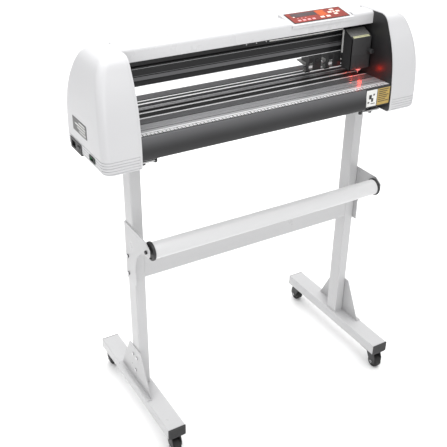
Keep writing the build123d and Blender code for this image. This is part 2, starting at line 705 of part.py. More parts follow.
def carriage_cover():
    """Front cover of the cutting head, open at the back and below."""
    def wedge(d, base):
        slope = (HEAD_REAR_TOP - HEAD_FRONT_TOP) / (PLATE_Y - CARRIAGE_FRONT)
        front = CARRIAGE_FRONT + d
        return slab_x([(front, base), (PLATE_Y + (1 if d else 0), base),
                       (PLATE_Y + (1 if d else 0), HEAD_REAR_TOP - d * 1.1 + (slope if d else 0)),
                       (front, HEAD_FRONT_TOP - d * 1.1 + d * slope)], HEAD_LEFT + d, HEAD_RIGHT - d)
    shell = wedge(0, HEAD_BASE) - wedge(COVER_WALL, HEAD_BASE - 1)
    shelf = block(HEAD_LEFT + COVER_WALL, HEAD_RIGHT - COVER_WALL, CARRIAGE_FRONT + COVER_WALL, PLATE_Y,
                  HEAD_BASE, HEAD_BASE + 4)
    shelf -= rod_z(TOOL_X, TOOL_Y, HEAD_BASE - 1, HEAD_BASE + 5, TOOL_R + GAP)
    shelf -= rod_z(LASER_X, TOOL_Y, HEAD_BASE - 1, HEAD_BASE + 5, LASER_R + RUNNING)
    shell += shelf
    shell -= rod_y(KNOB_X, CARRIAGE_FRONT - 1, CARRIAGE_FRONT + COVER_WALL + 1, KNOB_Z, 3 + RUNNING)
    return shell


LASER_X = HEAD_RIGHT - 38.0
LASER_R = 5.0


def laser_module():
    """Small pointer lamp pressed into the head's floor."""
    return rod_z(LASER_X, TOOL_Y, HEAD_BASE - 5, HEAD_BASE + 18, LASER_R)


def tool_holder():
    """Blade holder: knurled barrel, nose and the blade tip."""
    barrel = rod_z(TOOL_X, TOOL_Y, HEAD_BASE - 10, HEAD_BASE + 42, TOOL_R)
    nose = Pos(TOOL_X, TOOL_Y, HEAD_BASE - 13) * Cone(3, TOOL_R, 6)
    tip = rod_z(TOOL_X, TOOL_Y, PLATEN_TOP + 3, HEAD_BASE - 15, 1.2)
    return barrel + nose + tip


def clamp_knob():
    """Screw knob on the head's front that clamps the blade holder."""
    y = CARRIAGE_FRONT - GAP
    knob = rod_y(KNOB_X, y - 16, y, KNOB_Z, 7)
    knob += rod_y(KNOB_X, y - 1, CARRIAGE_FRONT + COVER_WALL + 6, KNOB_Z, 3)
    return knob


CABLE_X0 = 60.0            # where the flat cable leaves its anchor
CABLE_T = 1.0
CABLE_W = 8.0
CABLE_Z = BEAM_TOP - 7.0


def flex_cable():
    """Flat cable from the anchor on the beam to the head's back plate."""
    return block(CABLE_X0, HEAD_LEFT, BEAM_FRONT - 8.5, BEAM_FRONT - 8.5 + CABLE_T, CABLE_Z,
                 CABLE_Z + CABLE_W)


ANCHOR_T = 4.0


def cable_anchor():
    """Clamp plate screwed to the beam that holds the fixed end of the cable."""
    x0, x1 = CABLE_X0 - 75, CABLE_X0
    base = RAIL_Z + RAIL_H / 2 + GAP + SHOE_H + GAP  # clear of the carriage's upper shoes
    return block(x0, x1, BEAM_FRONT - ANCHOR_T, BEAM_FRONT, base, BEAM_TOP + 1)


# ---------------------------------------------------------------- media feed
def grit_roller():
    """Knurled feed roller with plain journals."""
    reach = PLATE_OUT + 14
    roller = rod_x(-PLATE_IN + 3, PLATE_IN - 3, GRIT_Y, GRIT_Z, GRIT_R)
    return roller + rod_x(-reach, PLATE_OUT + 4, GRIT_Y, GRIT_Z, JOURNAL_R)


def grit_bushes():
    bush = rod_x(PLATE_IN, PLATE_OUT, GRIT_Y, GRIT_Z, BUSH_R) + rod_x(PLATE_OUT, PLATE_OUT + 2, GRIT_Y,
                                                                      GRIT_Z, BUSH_R + 3)
    bush -= rod_x(PLATE_IN - 1, PLATE_OUT + 3, GRIT_Y, GRIT_Z, JOURNAL_R + RUNNING)
    return group([bush, flip(bush)])


COUPLER_R = 10.0
FEED_HALF = 21.0


def shaft_coupler():
    """Sleeve that joins the feed roller's journal to the motor shaft, with the shaft's end."""
    x1 = -PLATE_OUT - 4
    x0 = x1 - 20
    sleeve = rod_x(x0, x1, GRIT_Y, GRIT_Z, COUPLER_R) - rod_x(-PLATE_OUT - 14, x1 + 1, GRIT_Y, GRIT_Z,
                                                              JOURNAL_R)
    return sleeve + rod_x(x0 - 12, x0, GRIT_Y, GRIT_Z, 3)


def feed_motor():
    x1 = -PLATE_OUT - 26
    x0 = x1 - 34
    body = block(x0, x1, GRIT_Y - FEED_HALF, GRIT_Y + FEED_HALF, GRIT_Z - FEED_HALF, GRIT_Z + FEED_HALF)
    foot = block(x0, -PLATE_OUT, GRIT_Y - FEED_HALF, GRIT_Y + FEED_HALF, GRIT_Z - FEED_HALF - 4,
                 GRIT_Z - FEED_HALF)
    return body + foot - rod_x(x1 - 15, x1 + 1, GRIT_Y, GRIT_Z, 3 + RUNNING)


PIVOT_Y, PIVOT_Z = 34.0, PLATEN_TOP + 29.0
PIVOT_R = 3.0
BOSS_R = 5.5
CHEEK_T = 3.0
PRESSED_Z = PLATEN_TOP + PINCH_R + 0.3


def lifted(y, z):
    """A point of the pressed arm, turned up about the pivot to the lifted arm."""
    a = math.radians(PINCH_LIFT)
    dy, dz = y - PIVOT_Y, z - PIVOT_Z
    return (PIVOT_Y + dy * math.cos(a) - dz * math.sin(a), PIVOT_Z + dy * math.sin(a) + dz * math.cos(a))


def pinch_block(x):
    """Slider hung from the beam's lower slot, with two cheeks that hold the pivot pin."""
    half = PINCH_W / 2
    body = block(x - half, x + half, PIVOT_Y - 6, PINCH_SLOT_Y + 14, BEAM_BASE - 20, BEAM_BASE - GAP)
    body += block(x - half, x + half, PINCH_SLOT_Y - SLOT_W / 2 + SLIP, PINCH_SLOT_Y + SLOT_W / 2 - SLIP,
                  BEAM_BASE - GAP - 1, BEAM_BASE + SLOT_DEPTH - GAP)
    for s in (-1, 1):
        a, b = sorted((x + s * half, x + s * (half - CHEEK_T)))
        body += block(a, b, PIVOT_Y - 6, PIVOT_Y + 6, PIVOT_Z - 6, BEAM_BASE - 19)
    return body + rod_x(x - half, x + half, PIVOT_Y, PIVOT_Z, PIVOT_R)


def pinch_arm(x):
    """Fork from the pivot to the wheel, with a lever out to the back."""
    reach = PINCH_W / 2 - CHEEK_T - GAP
    wy, wz = lifted(GRIT_Y, PRESSED_Z)
    arm = rod_x(x - reach, x + reach, PIVOT_Y, PIVOT_Z, BOSS_R)
    inner = PINCH_WHEEL_W / 2 + GAP
    side = [(PIVOT_Y - 1, PIVOT_Z + 5), (PIVOT_Y + 1, PIVOT_Z - 5), (wy - 2, wz - 5), (wy + 5, wz - 1),
            (wy + 3, wz + 6)]
    for s in (-1, 1):
        a, b = sorted((x + s * inner, x + s * (inner + 4)))
        arm += slab_x(side, a, b)
    lever = [(PIVOT_Y + 3, PIVOT_Z + 3), (wy + 4, wz + 14), (wy + 34, wz + 18), (wy + 34, wz + 21),
             (wy + 2, wz + 17), (PIVOT_Y + 1, PIVOT_Z + 5)]
    arm += slab_x(lever, x - inner - 4, x + inner + 4)
    arm -= rod_x(x - reach - 1, x + reach + 1, PIVOT_Y, PIVOT_Z, PIVOT_R + RUNNING)
    return arm - rod_x(x - reach - 1, x + reach + 1, wy, wz, 2.5 + RUNNING)


PINCH_WHEEL_W = 15.0


def pinch_wheel(x):
    wy, wz = lifted(GRIT_Y, PRESSED_Z)
    half = PINCH_WHEEL_W / 2
    wheel = rod_x(x - half, x + half, wy, wz, PINCH_R)
    return wheel + rod_x(x - half - GAP - 3.8, x + half + GAP + 3.8, wy, wz, 2.5)


# ---------------------------------------------------------------- controls and electrics
HOUSING_MARGIN = 10.0
HOUSING_FRONT = LIP_Y - 3.0
HOUSING_REAR = 54.0
HOUSING_BASE = COVER_TOP - 15.0
HOUSING_LEDGE = 3.0        # overlap of the housing on the cover
HOUSING_RISE = 13.0        # slope of its top, front to rear
HOUSING_FRONT_TOP = COVER_TOP - 6.0


def housing_wedge(inset):
    """Wedge in (y, z) under the control housing's sloping top."""
    front = HOUSING_FRONT + inset
    rear = HOUSING_REAR - inset
    top = HOUSING_FRONT_TOP - inset
    base = HOUSING_BASE - (1 if inset else 0)
    return [(front, base), (front, top), (rear - 6, top + HOUSING_RISE), (rear, top + HOUSING_RISE - 3),
            (rear, COVER_TOP), (rear - HOUSING_LEDGE, COVER_TOP), (rear - HOUSING_LEDGE, base)]


def control_housing():
    """Shell that fills the cover's cut-out and carries the keypad on its slope."""
    half = PANEL_W / 2 + HOUSING_MARGIN
    shell = slab_x(housing_wedge(0), PANEL_X - half, PANEL_X + half)
    return shell - slab_x(housing_wedge(COVER_WALL), PANEL_X - half + COVER_WALL,
                          PANEL_X + half - COVER_WALL)


def keypad_panel():
    """Printed keypad sheet on the housing's slope."""
    run = HOUSING_REAR - 6 - HOUSING_FRONT
    angle = math.atan2(HOUSING_RISE, run)
    y = HOUSING_FRONT + PANEL_EDGE + PANEL_D / 2
    z = HOUSING_FRONT_TOP + (y - HOUSING_FRONT) * math.tan(angle)
    return Pos(PANEL_X, y, z) * Rot(math.degrees(angle), 0, 0) * Pos(0, 0, PANEL_T / 2) * Box(
        PANEL_W, PANEL_D, PANEL_T)


def power_inlet():
    """Mains inlet with three blades, in one moulding with the switch's frame."""
    x = -CAP_OUT
    body = block(x - BEZEL, x + INLET_DEPTH, INLET_Y - INLET_W / 2, INLET_Y + INLET_W / 2,
                 INLET_Z - INLET_H / 2, INLET_Z + INLET_H / 2)
    body -= block(x - 3, x + 17, INLET_Y - 12, INLET_Y + 12, INLET_Z - 8, INLET_Z + 8)
    for y, z in ((-7, -2), (0, 2), (7, -2)):
        body += block(x + 3, x + 18, INLET_Y + y - 1, INLET_Y + y + 1, INLET_Z + z - 2, INLET_Z + z + 2)
    y0, y1 = SWITCH_Y - SWITCH_W / 2, INLET_Y - INLET_W / 2
    body += block(x - BEZEL, x + 16, y0, y1, INLET_Z - INLET_H / 2, INLET_Z + INLET_H / 2)
    body -= block(x - 3, x + 13, SWITCH_Y - ROCKER_W / 2, SWITCH_Y + ROCKER_W / 2,
                  INLET_Z - ROCKER_H / 2, INLET_Z + ROCKER_H / 2)
    half = ROCKER_W / 2 + TRUNNION_L + GAP
    return body - rod_y(x + ROCKER_PIN, SWITCH_Y - half, SWITCH_Y + half, INLET_Z, TRUNNION_R + RUNNING)


ROCKER_W, ROCKER_H = 14.0, 17.0
ROCKER_PIN = 5.0           # tipping axis behind the cap's face
ROCKER_RANGE = [0.0, 14.0]
TRUNNION_R = 1.5
TRUNNION_L = 0.8           # reach of the rocker's trunnions into the switch's frame
INLET_DEPTH = 22.0
BEZEL = 2.0


def power_rocker():
    """Rocker that tips about a level axis across the middle of the switch, drawn switched off."""
    x = -CAP_OUT
    half = ROCKER_H / 2 - 1.5
    outline = [Line((x + 6, INLET_Z - half), (x - 4, INLET_Z - half)),
               ThreePointArc((x - 4, INLET_Z - half), (x - 2.2, INLET_Z), (x - 4, INLET_Z + half)),
               Line((x - 4, INLET_Z + half), (x + 6, INLET_Z + half)),
               Line((x + 6, INLET_Z + half), (x + 6, INLET_Z - half))]
    rocker = run_y(outline, SWITCH_Y - ROCKER_W / 2 + GAP, SWITCH_Y + ROCKER_W / 2 - GAP)
    half = ROCKER_W / 2 + TRUNNION_L
    rocker += rod_y(x + ROCKER_PIN, SWITCH_Y - half, SWITCH_Y + half, INLET_Z, TRUNNION_R)
    pin = Axis((x + ROCKER_PIN, SWITCH_Y, INLET_Z), (0, 1, 0))
    return rocker.rotate(pin, -ROCKER_RANGE[1] / 2)


BOARD_T = 2.0
BOARD_X = -CAP_OUT + 14.0  # outer face of the circuit board


def control_board():
    """Circuit board behind the left cap with its data port, and the power supply."""
    x = -CAP_OUT
    board = block(BOARD_X, BOARD_X + BOARD_T, PORT_Y - 40, SWITCH_Y - SWITCH_W / 2 - 4, PORT_Z - 12,
                  PORT_Z + 90)
    port = block(x - 1.5, BOARD_X, PORT_Y - PORT_W / 2, PORT_Y + PORT_W / 2, PORT_Z - PORT_H / 2,
                 PORT_Z + PORT_H / 2)
    port -= block(x - 2, x + 6, PORT_Y - 9, PORT_Y + 9, PORT_Z - 4.5, PORT_Z + 4.5)
    supply = block(-PLATE_OUT - 40, -PLATE_OUT, PORT_Y - 30, PORT_Y + 60, MACHINE_BASE + SHELL_T,
                   MACHINE_BASE + 80)
    return group([board + port, supply])


# ---------------------------------------------------------------- all parts
def add(name, shape):
    parts[name] = shape


def build():
    add("left_foot_bar", foot_bar(-1))
    add("right_foot_bar", foot_bar(1))
    add("foot_end_caps", group([foot_end_cap(side, end) for side in (-1, 1) for end in (-1, 1)]))
    add("left_column", column(-1))
    add("right_column", column(1))
    add("foot_gussets", group([foot_gusset(), flip(foot_gusset())]))
    add("roller_brackets", group([roller_bracket(), flip(roller_bracket())]))
    add("cross_beam", cross_beam())
    add("top_mounts", group([top_mount(), flip(top_mount())]))
    add("stand_bolts", stand_bolts())
    add("caster_stems", group([caster_stem(x, y) for x, y in caster_spots().values()]))
    for name, (x, y) in caster_spots().items():
        add("caster_fork_" + name, caster_fork(x, y))
        add("caster_wheel_" + name, caster_wheel(x, y))
    add("media_roller", media_roller())
    add("roller_end_plugs", group([roller_end_plug(), flip(roller_end_plug())]))
    add("left_end_cap", left_end_cap())
    add("right_end_cap", end_cap())
    add("left_side_plate", left_side_plate())
    add("right_side_plate", side_plate())
    add("top_cover", top_cover())
    add("base_tray", base_tray())
    add("platen", platen())
    add("cutting_strip", cutting_strip())
    add("rear_guide", rear_guide())
    add("front_apron", front_apron())
    add("label_plate", label_plate())
    add("beam", beam())
    add("guide_rail", guide_rail())
    add("cable_anchor", cable_anchor())
    add("drive_belt", drive_belt())
    add("drive_pulley", drive_pulley())
    add("idler_pulley", idler_pulley())
    add("carriage_motor", carriage_motor())
    add("carriage_plate", carriage_plate())
    add("carriage_cover", carriage_cover())
    add("laser_module", laser_module())
    add("tool_holder", tool_holder())
    add("clamp_knob", clamp_knob())
    add("flex_cable", flex_cable())
    add("grit_roller", grit_roller())
    add("grit_bushes", grit_bushes())
    add("shaft_coupler", shaft_coupler())
    add("feed_motor", feed_motor())
    for letter, x in zip("ab", PINCH_X):
        add("pinch_block_" + letter, pinch_block(x))
        add("pinch_arm_" + letter, pinch_arm(x))
        add("pinch_wheel_" + letter, pinch_wheel(x))
    add("control_housing", control_housing())
    add("keypad_panel", keypad_panel())
    add("power_inlet", power_inlet())
    add("power_rocker", power_rocker())
    add("control_board", control_board())


build()
os.makedirs("parts", exist_ok=True)
for part_name, part_shape in parts.items():
    export_step(part_shape, "parts/" + part_name + ".step")
print(len(parts), "nodes")
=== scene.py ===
import math
import bmesh
import bpy
from mathutils import Matrix, Vector


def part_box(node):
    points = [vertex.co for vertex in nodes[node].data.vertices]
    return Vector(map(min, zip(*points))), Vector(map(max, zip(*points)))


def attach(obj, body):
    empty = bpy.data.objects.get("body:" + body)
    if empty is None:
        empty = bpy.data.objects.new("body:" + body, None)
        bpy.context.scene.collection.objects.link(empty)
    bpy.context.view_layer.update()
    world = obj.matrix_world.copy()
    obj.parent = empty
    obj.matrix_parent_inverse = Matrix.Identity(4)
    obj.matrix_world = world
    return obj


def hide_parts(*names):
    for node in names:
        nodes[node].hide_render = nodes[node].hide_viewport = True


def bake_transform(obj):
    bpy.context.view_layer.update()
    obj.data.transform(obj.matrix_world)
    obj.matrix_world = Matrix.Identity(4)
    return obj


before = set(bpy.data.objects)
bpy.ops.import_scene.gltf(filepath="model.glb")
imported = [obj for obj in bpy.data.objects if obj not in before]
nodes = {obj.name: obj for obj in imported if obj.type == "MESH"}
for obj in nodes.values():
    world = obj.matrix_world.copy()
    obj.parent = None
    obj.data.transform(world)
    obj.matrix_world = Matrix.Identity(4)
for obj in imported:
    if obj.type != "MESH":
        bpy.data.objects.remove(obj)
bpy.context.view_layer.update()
MM = 0.001


# ------------------------------------------------------------------ materials
def node_tree(name):
    mat = bpy.data.materials.new(name)
    mat.use_nodes = True
    tree = mat.node_tree
    return mat, tree, tree.nodes["Principled BSDF"]


def noise(tree, scale, detail=4.0, stretch=(1, 1, 1)):
    """Noise in object space; a stretch under 1 along an axis draws it out along that axis."""
    coords = tree.nodes.new("ShaderNodeTexCoord")
    mapping = tree.nodes.new("ShaderNodeMapping")
    mapping.inputs["Scale"].default_value = stretch
    texture = tree.nodes.new("ShaderNodeTexNoise")
    texture.inputs["Scale"].default_value = scale
    texture.inputs["Detail"].default_value = detail
    tree.links.new(coords.outputs["Object"], mapping.inputs["Vector"])
    tree.links.new(mapping.outputs["Vector"], texture.inputs["Vector"])
    return texture.outputs["Fac"]


def remap(tree, value, low, high):
    node = tree.nodes.new("ShaderNodeMapRange")
    node.inputs["From Min"].default_value = 0.3
    node.inputs["From Max"].default_value = 0.7
    node.inputs["To Min"].default_value = low
    node.inputs["To Max"].default_value = high
    tree.links.new(value, node.inputs["Value"])
    return node.outputs["Result"]


def finish_material(name, colour, rough, metallic=0.0, tint=0.04, cloud=6.0, grain=900.0, bump=0.05,
                    stretch=(1, 1, 1), wear=0.0, coat=0.0, glow=0.0, spread=0.05, painted_sheen=None):
    """A surface with clouded colour, uneven gloss, a fine grain, lighter worn edges and, when painted_sheen
    is given, a painted sheen that lightens it towards the top.
    """
    mat, tree, shader = node_tree(name)
    dark = [c * (1 - tint) for c in colour] + [1]
    light = [min(1, c * (1 + tint)) for c in colour] + [1]
    mix = tree.nodes.new("ShaderNodeMix")
    mix.data_type = "RGBA"
    mix.inputs["A"].default_value = dark
    mix.inputs["B"].default_value = light
    tree.links.new(remap(tree, noise(tree, cloud, 5.0, stretch), 0, 1), mix.inputs["Factor"])
    colour_out = mix.outputs["Result"]
    if wear:
        geometry = tree.nodes.new("ShaderNodeNewGeometry")
        edge = tree.nodes.new("ShaderNodeMapRange")
        edge.inputs["From Min"].default_value = 0.52
        edge.inputs["From Max"].default_value = 0.62
        edge.inputs["To Max"].default_value = wear
        tree.links.new(geometry.outputs["Pointiness"], edge.inputs["Value"])
        worn = tree.nodes.new("ShaderNodeMix")
        worn.data_type = "RGBA"
        worn.inputs["B"].default_value = [min(1, c * 1.6 + 0.08) for c in colour] + [1]
        tree.links.new(edge.outputs["Result"], worn.inputs["Factor"])
        tree.links.new(colour_out, worn.inputs["A"])
        colour_out = worn.outputs["Result"]
    # painted sheen: the colour lightens with height, standing in for light falling on the top of a curved
    # face
    if painted_sheen:
        low, high, sheen_colour = painted_sheen
        coords = tree.nodes.new("ShaderNodeTexCoord")
        split = tree.nodes.new("ShaderNodeSeparateXYZ")
        ramp = tree.nodes.new("ShaderNodeMapRange")
        ramp.interpolation_type = "SMOOTHSTEP"
        ramp.inputs["From Min"].default_value = low
        ramp.inputs["From Max"].default_value = high
        sheen_mix = tree.nodes.new("ShaderNodeMix")
        sheen_mix.data_type = "RGBA"
        sheen_mix.inputs["B"].default_value = list(sheen_colour) + [1]
        tree.links.new(coords.outputs["Object"], split.inputs["Vector"])
        tree.links.new(split.outputs["Z"], ramp.inputs["Value"])
        tree.links.new(ramp.outputs["Result"], sheen_mix.inputs["Factor"])
        tree.links.new(colour_out, sheen_mix.inputs["A"])
        colour_out = sheen_mix.outputs["Result"]
    tree.links.new(colour_out, shader.inputs["Base Color"])
    tree.links.new(remap(tree, noise(tree, cloud * 4, 6.0, stretch), max(0.02, rough - spread),
                         rough + spread),
                   shader.inputs["Roughness"])
    height = tree.nodes.new("ShaderNodeBump")
    height.inputs["Strength"].default_value = bump
    height.inputs["Distance"].default_value = 0.0004
    tree.links.new(noise(tree, grain, 3.0, stretch), height.inputs["Height"])
    tree.links.new(height.outputs["Normal"], shader.inputs["Normal"])
    shader.inputs["Metallic"].default_value = metallic
    shader.inputs["Coat Weight"].default_value = coat
    if glow:
        shader.inputs["Emission Color"].default_value = list(colour) + [1]
        shader.inputs["Emission Strength"].default_value = glow
    return mat


ENAMEL = finish_material("white_enamel", (0.42, 0.42, 0.425), 0.32, tint=0.02, grain=700, bump=0.08,
                         wear=0.3, coat=0.2)
HOUSING = finish_material("white_housing", (0.55, 0.55, 0.56), 0.34, tint=0.012, grain=1400, bump=0.10)
COVER_WHITE = finish_material("cover_white", (0.60, 0.60, 0.61), 0.30, tint=0.012, grain=900, bump=0.05,
                              coat=0.2)
ROLLER_WHITE = finish_material("roller_white", (0.60, 0.60, 0.605), 0.34, tint=0.03, grain=500, bump=0.06,
                               stretch=(0.15, 1, 1))
BLACK_SHEET = finish_material("black_sheet", (0.016, 0.016, 0.017), 0.36, tint=0.15, grain=1100, bump=0.12,
                              wear=0.25)
# the apron's lighter top is a painted sheen of light on its curved face
APRON_BLACK = finish_material("apron_black", (0.012, 0.012, 0.013), 0.40, tint=0.12, grain=1300, bump=0.10,
                              painted_sheen=(0.850, 0.892, (0.105, 0.105, 0.11)))
BLACK_PLASTIC = finish_material("black_plastic", (0.012, 0.012, 0.013), 0.50, tint=0.15, grain=1500,
                                bump=0.25, wear=0.3)
# painted shade: near black for the floors of grooves and gaps, where shade falls
SHADOW_BLACK = finish_material("groove_painted_shade", (0.006, 0.006, 0.006), 0.60, tint=0.2, bump=0.05)
RUBBER = finish_material("rubber", (0.008, 0.008, 0.008), 0.72, tint=0.2, grain=800, bump=0.30)
DARK_ALLOY = finish_material("dark_alloy", (0.014, 0.014, 0.015), 0.34, metallic=0.35, tint=0.15, grain=600,
                             bump=0.10,
                             stretch=(0.05, 1, 1))
GREY_ALLOY = finish_material("grey_alloy", (0.13, 0.13, 0.135), 0.34, metallic=0.3, tint=0.12, grain=600,
                             bump=0.12,
                             stretch=(0.05, 1, 1))
BRIGHT_ALLOY = finish_material("bright_alloy", (0.80, 0.80, 0.81), 0.28, metallic=0.2, tint=0.06, grain=600,
                               bump=0.10,
                               stretch=(0.05, 1, 1))
STEEL = finish_material("steel", (0.56, 0.56, 0.57), 0.25, metallic=1.0, tint=0.06, grain=500, bump=0.08)
KNURLED = finish_material("knurled_steel", (0.42, 0.42, 0.43), 0.45, metallic=0.9, tint=0.25, cloud=300,
                          grain=900,
                          bump=0.8)
BRONZE = finish_material("bronze", (0.55, 0.38, 0.17), 0.35, metallic=0.9, tint=0.1)
RED_FILM = finish_material("keypad_red", (0.24, 0.026, 0.016), 0.38, tint=0.16, cloud=40, grain=1200,
                           bump=0.04)
# painted highlight: an orange patch standing in for the glare on the red keypad film
PAINTED_KEYPAD_HIGHLIGHT = finish_material("keypad_orange", (0.50, 0.085, 0.012), 0.36, tint=0.10, cloud=60, bump=0.04)
KEY_WHITE = finish_material("key_white", (0.86, 0.66, 0.58), 0.35, tint=0.05, cloud=80, bump=0.04)
KEY_PINK = finish_material("key_pink", (0.78, 0.34, 0.36), 0.35, tint=0.08, cloud=80, bump=0.04)
LCD_DARK = finish_material("lcd_window", (0.055, 0.030, 0.035), 0.14, tint=0.4, cloud=30, bump=0.02,
                           coat=0.6)
LABEL_WHITE = finish_material("label_white", (0.72, 0.72, 0.70), 0.45, tint=0.04, cloud=60, bump=0.03)
LABEL_YELLOW = finish_material("label_yellow", (0.42, 0.29, 0.07), 0.45, tint=0.10, cloud=90, bump=0.03)
LABEL_PALE = finish_material("label_pale_yellow", (0.74, 0.74, 0.46), 0.40, tint=0.06, cloud=60, bump=0.03)
LABEL_GREY = finish_material("label_grey", (0.05, 0.05, 0.05), 0.35, tint=0.10, cloud=80, bump=0.04)
PRINT_BLACK = finish_material("print_black", (0.015, 0.015, 0.015), 0.45, tint=0.2, bump=0.02)
RIBBON = finish_material("ribbon_white", (0.80, 0.80, 0.78), 0.40, tint=0.04, cloud=30, grain=400,
                         bump=0.05,
                         stretch=(0.05, 1, 1))
LASER_RED = finish_material("laser_red", (1.0, 0.05, 0.01), 0.3, glow=60.0)
MID_GREY = finish_material("mid_grey", (0.17, 0.17, 0.165), 0.42, tint=0.25, cloud=250, grain=700, bump=0.3)
MID_ALLOY = finish_material("mid_alloy", (0.36, 0.36, 0.37), 0.28, metallic=0.3, tint=0.12, grain=600,
                            bump=0.12,
                            stretch=(0.05, 1, 1))
BOARD_GREEN = finish_material("board_green", (0.03, 0.16, 0.06), 0.35, tint=0.2, cloud=120, bump=0.1)


# ------------------------------------------------------------------ mesh helpers
def add_object(name, mesh, material, body, smooth=True):
    obj = bpy.data.objects.new(name, mesh)
    bpy.context.scene.collection.objects.link(obj)
    if not mesh.materials:
        for m in material if isinstance(material, (list, tuple)) else [material]:
            mesh.materials.append(m)
    for polygon in mesh.polygons:
        polygon.use_smooth = smooth
    if smooth:
        obj.modifiers.new("normals", "WEIGHTED_NORMAL").keep_sharp = True
    if body:
        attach(obj, body)
    return obj


SHARP = math.radians(38)


def bm_object(name, bm, material, body="root", smooth=True):
    bmesh.ops.remove_doubles(bm, verts=bm.verts, dist=1e-6)
    bmesh.ops.recalc_face_normals(bm, faces=bm.faces)
    for e in bm.edges:
        e.smooth = len(e.link_faces) == 2 and e.calc_face_angle(0) < SHARP
    mesh = bpy.data.meshes.new(name)
    bm.to_mesh(mesh)
    bm.free()
    return add_object(name, mesh, material, body, smooth)


def put_box(bm, lo, hi, radius=0.0, segments=2, index=0, turn=None):
    """Adds a box with rounded edges; turn is a matrix applied to it."""
    lo, hi = Vector(lo), Vector(hi)
    made = bmesh.ops.create_cube(bm, size=1.0)["verts"]
    for v in made:
        v.co = Vector((lo[i] + (v.co[i] + 0.5) * (hi[i] - lo[i]) for i in range(3)))
    edges = {e for v in made for e in v.link_edges}
    faces = {f for v in made for f in v.link_faces}
    if radius:
        limit = 0.49 * min(hi[i] - lo[i] for i in range(3))
        out = bmesh.ops.bevel(bm, geom=list(edges), offset=min(radius, limit), segments=segments,
                              profile=0.5,
                              affect="EDGES")
        faces = {f for f in faces if f.is_valid} | set(out["faces"])
    for f in faces:
        f.material_index = index
    if turn is not None:
        bmesh.ops.transform(bm, matrix=turn, verts=list({v for f in faces for v in f.verts}))
    return faces


def put_lathe(bm, profile, centre, axis, segments=40, index=0):
    """Adds a turned shape: profile is a list of (radius, distance along the axis)."""
    frame_z = Vector(axis).normalized()
    frame_x = frame_z.orthogonal().normalized()
    frame_y = frame_z.cross(frame_x)
    centre = Vector(centre)
    rings = []
    for r, h in profile:
        if r < 1e-7:
            rings.append([bm.verts.new(centre + frame_z * h)])
            continue
        ring = []
        for k in range(segments):
            a = 2 * math.pi * k / segments
            out = frame_x * math.cos(a) + frame_y * math.sin(a)
            ring.append(bm.verts.new(centre + frame_z * h + out * r))
        rings.append(ring)
    for a, b in zip(rings, rings[1:]):
        for k in range(segments):
            n = (k + 1) % segments
            if len(a) == 1 and len(b) == 1:
                continue
            if len(a) == 1:
                f = bm.faces.new((a[0], b[k], b[n]))
            elif len(b) == 1:
                f = bm.faces.new((a[k], b[0], a[n]))
            else:
                f = bm.faces.new((a[k], b[k], b[n], a[n]))
            f.material_index = index


def disc_profile(r, h0, h1, bevel):
    """Profile of a round plug with bevelled rims."""
    return [(0, h0), (r - bevel, h0), (r - bevel * 0.3, h0 + bevel * 0.3), (r, h0 + bevel), (r, h1 - bevel),
            (r - bevel * 0.3, h1 - bevel * 0.3), (r - bevel, h1), (0, h1)]


def put_prism(bm, outline, x0, x1, indices=None):
    """Adds a closed (y, z) outline run along X; indices gives each side's material."""
    left = [bm.verts.new((x0, y, z)) for y, z in outline]
    right = [bm.verts.new((x1, y, z)) for y, z in outline]
    count = len(outline)
    for k in range(count):
        n = (k + 1) % count
        f = bm.faces.new((left[k], left[n], right[n], right[k]))
        f.material_index = indices[k] if indices else 0
    bm.faces.new(left[::-1])
    bm.faces.new(right)


def cut(obj, cutters):
    """Cuts rounded boxes or plugs, each given as a bmesh-filling function, out of a piece."""
    bm = bmesh.new()
    for fill in cutters:
        fill(bm)
    mesh = bpy.data.meshes.new("cutter")
    bmesh.ops.recalc_face_normals(bm, faces=bm.faces)
    bm.to_mesh(mesh)
    bm.free()
    tool = bpy.data.objects.new("cutter", mesh)
    bpy.context.scene.collection.objects.link(tool)
    boolean = obj.modifiers.new("cut", "BOOLEAN")
    boolean.operation = "DIFFERENCE"
    boolean.solver = "EXACT"
    boolean.object = tool
    obj.modifiers.move(len(obj.modifiers) - 1, 0)
    bpy.context.view_layer.update()
    result = bpy.data.meshes.new_from_object(obj.evaluated_get(bpy.context.evaluated_depsgraph_get()))
    obj.modifiers.clear()
    obj.data = result
    obj.modifiers.new("normals", "WEIGHTED_NORMAL").keep_sharp = True
    bpy.data.objects.remove(tool)


def smooth_table(table):
    """Smooth curve through (t, value) pairs, without overshoot at the flat stretches."""
    def value(t):
        t = min(max(t, table[0][0]), table[-1][0])
        for k in range(len(table) - 1):
            if t <= table[k + 1][0]:
                break
        (t0, v0), (t1, v1) = table[k], table[k + 1]
        slope = [(b[1] - a[1]) / (b[0] - a[0]) for a, b in zip(table, table[1:])]

        def tangent(i):
            if i == 0:
                return slope[0]
            if i == len(table) - 1:
                return slope[-1]
            a, b = slope[i - 1], slope[i]
            return 0.0 if a * b <= 0 else 2 * a * b / (a + b)
        h = t1 - t0
        s = (t - t0) / h
        m0, m1 = tangent(k), tangent(k + 1)
        return ((2 * s**3 - 3 * s**2 + 1) * v0 + (s**3 - 2 * s**2 + s) * h * m0
                + (-2 * s**3 + 3 * s**2) * v1 + (s**3 - s**2) * h * m1)
    return value


def paint(material, *names):
    for name in names:
        data = nodes[name].data
        data.materials.clear()
        data.materials.append(material)


def replace(piece, slot, *names):
    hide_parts(*names)
    return piece


# ------------------------------------------------------------------ end caps and side plates
CAP_LO, CAP_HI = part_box("right_end_cap")
CAP_H = CAP_HI.z - CAP_LO.z
CAP_W = CAP_HI.x - CAP_LO.x
HALF_DEPTH = -CAP_LO.y
PLATE_LO, PLATE_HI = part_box("right_side_plate")

# share of the half depth at each share of the height
depth_share = smooth_table([(0.0, 0.93), (0.012, 0.972), (0.04, 1.0), (0.165, 1.0), (0.40, 0.966),
                            (0.545, 0.922),
                            (0.714, 0.820), (0.88, 0.665), (0.95, 0.585), (0.985, 0.50), (1.0, 0.40)])
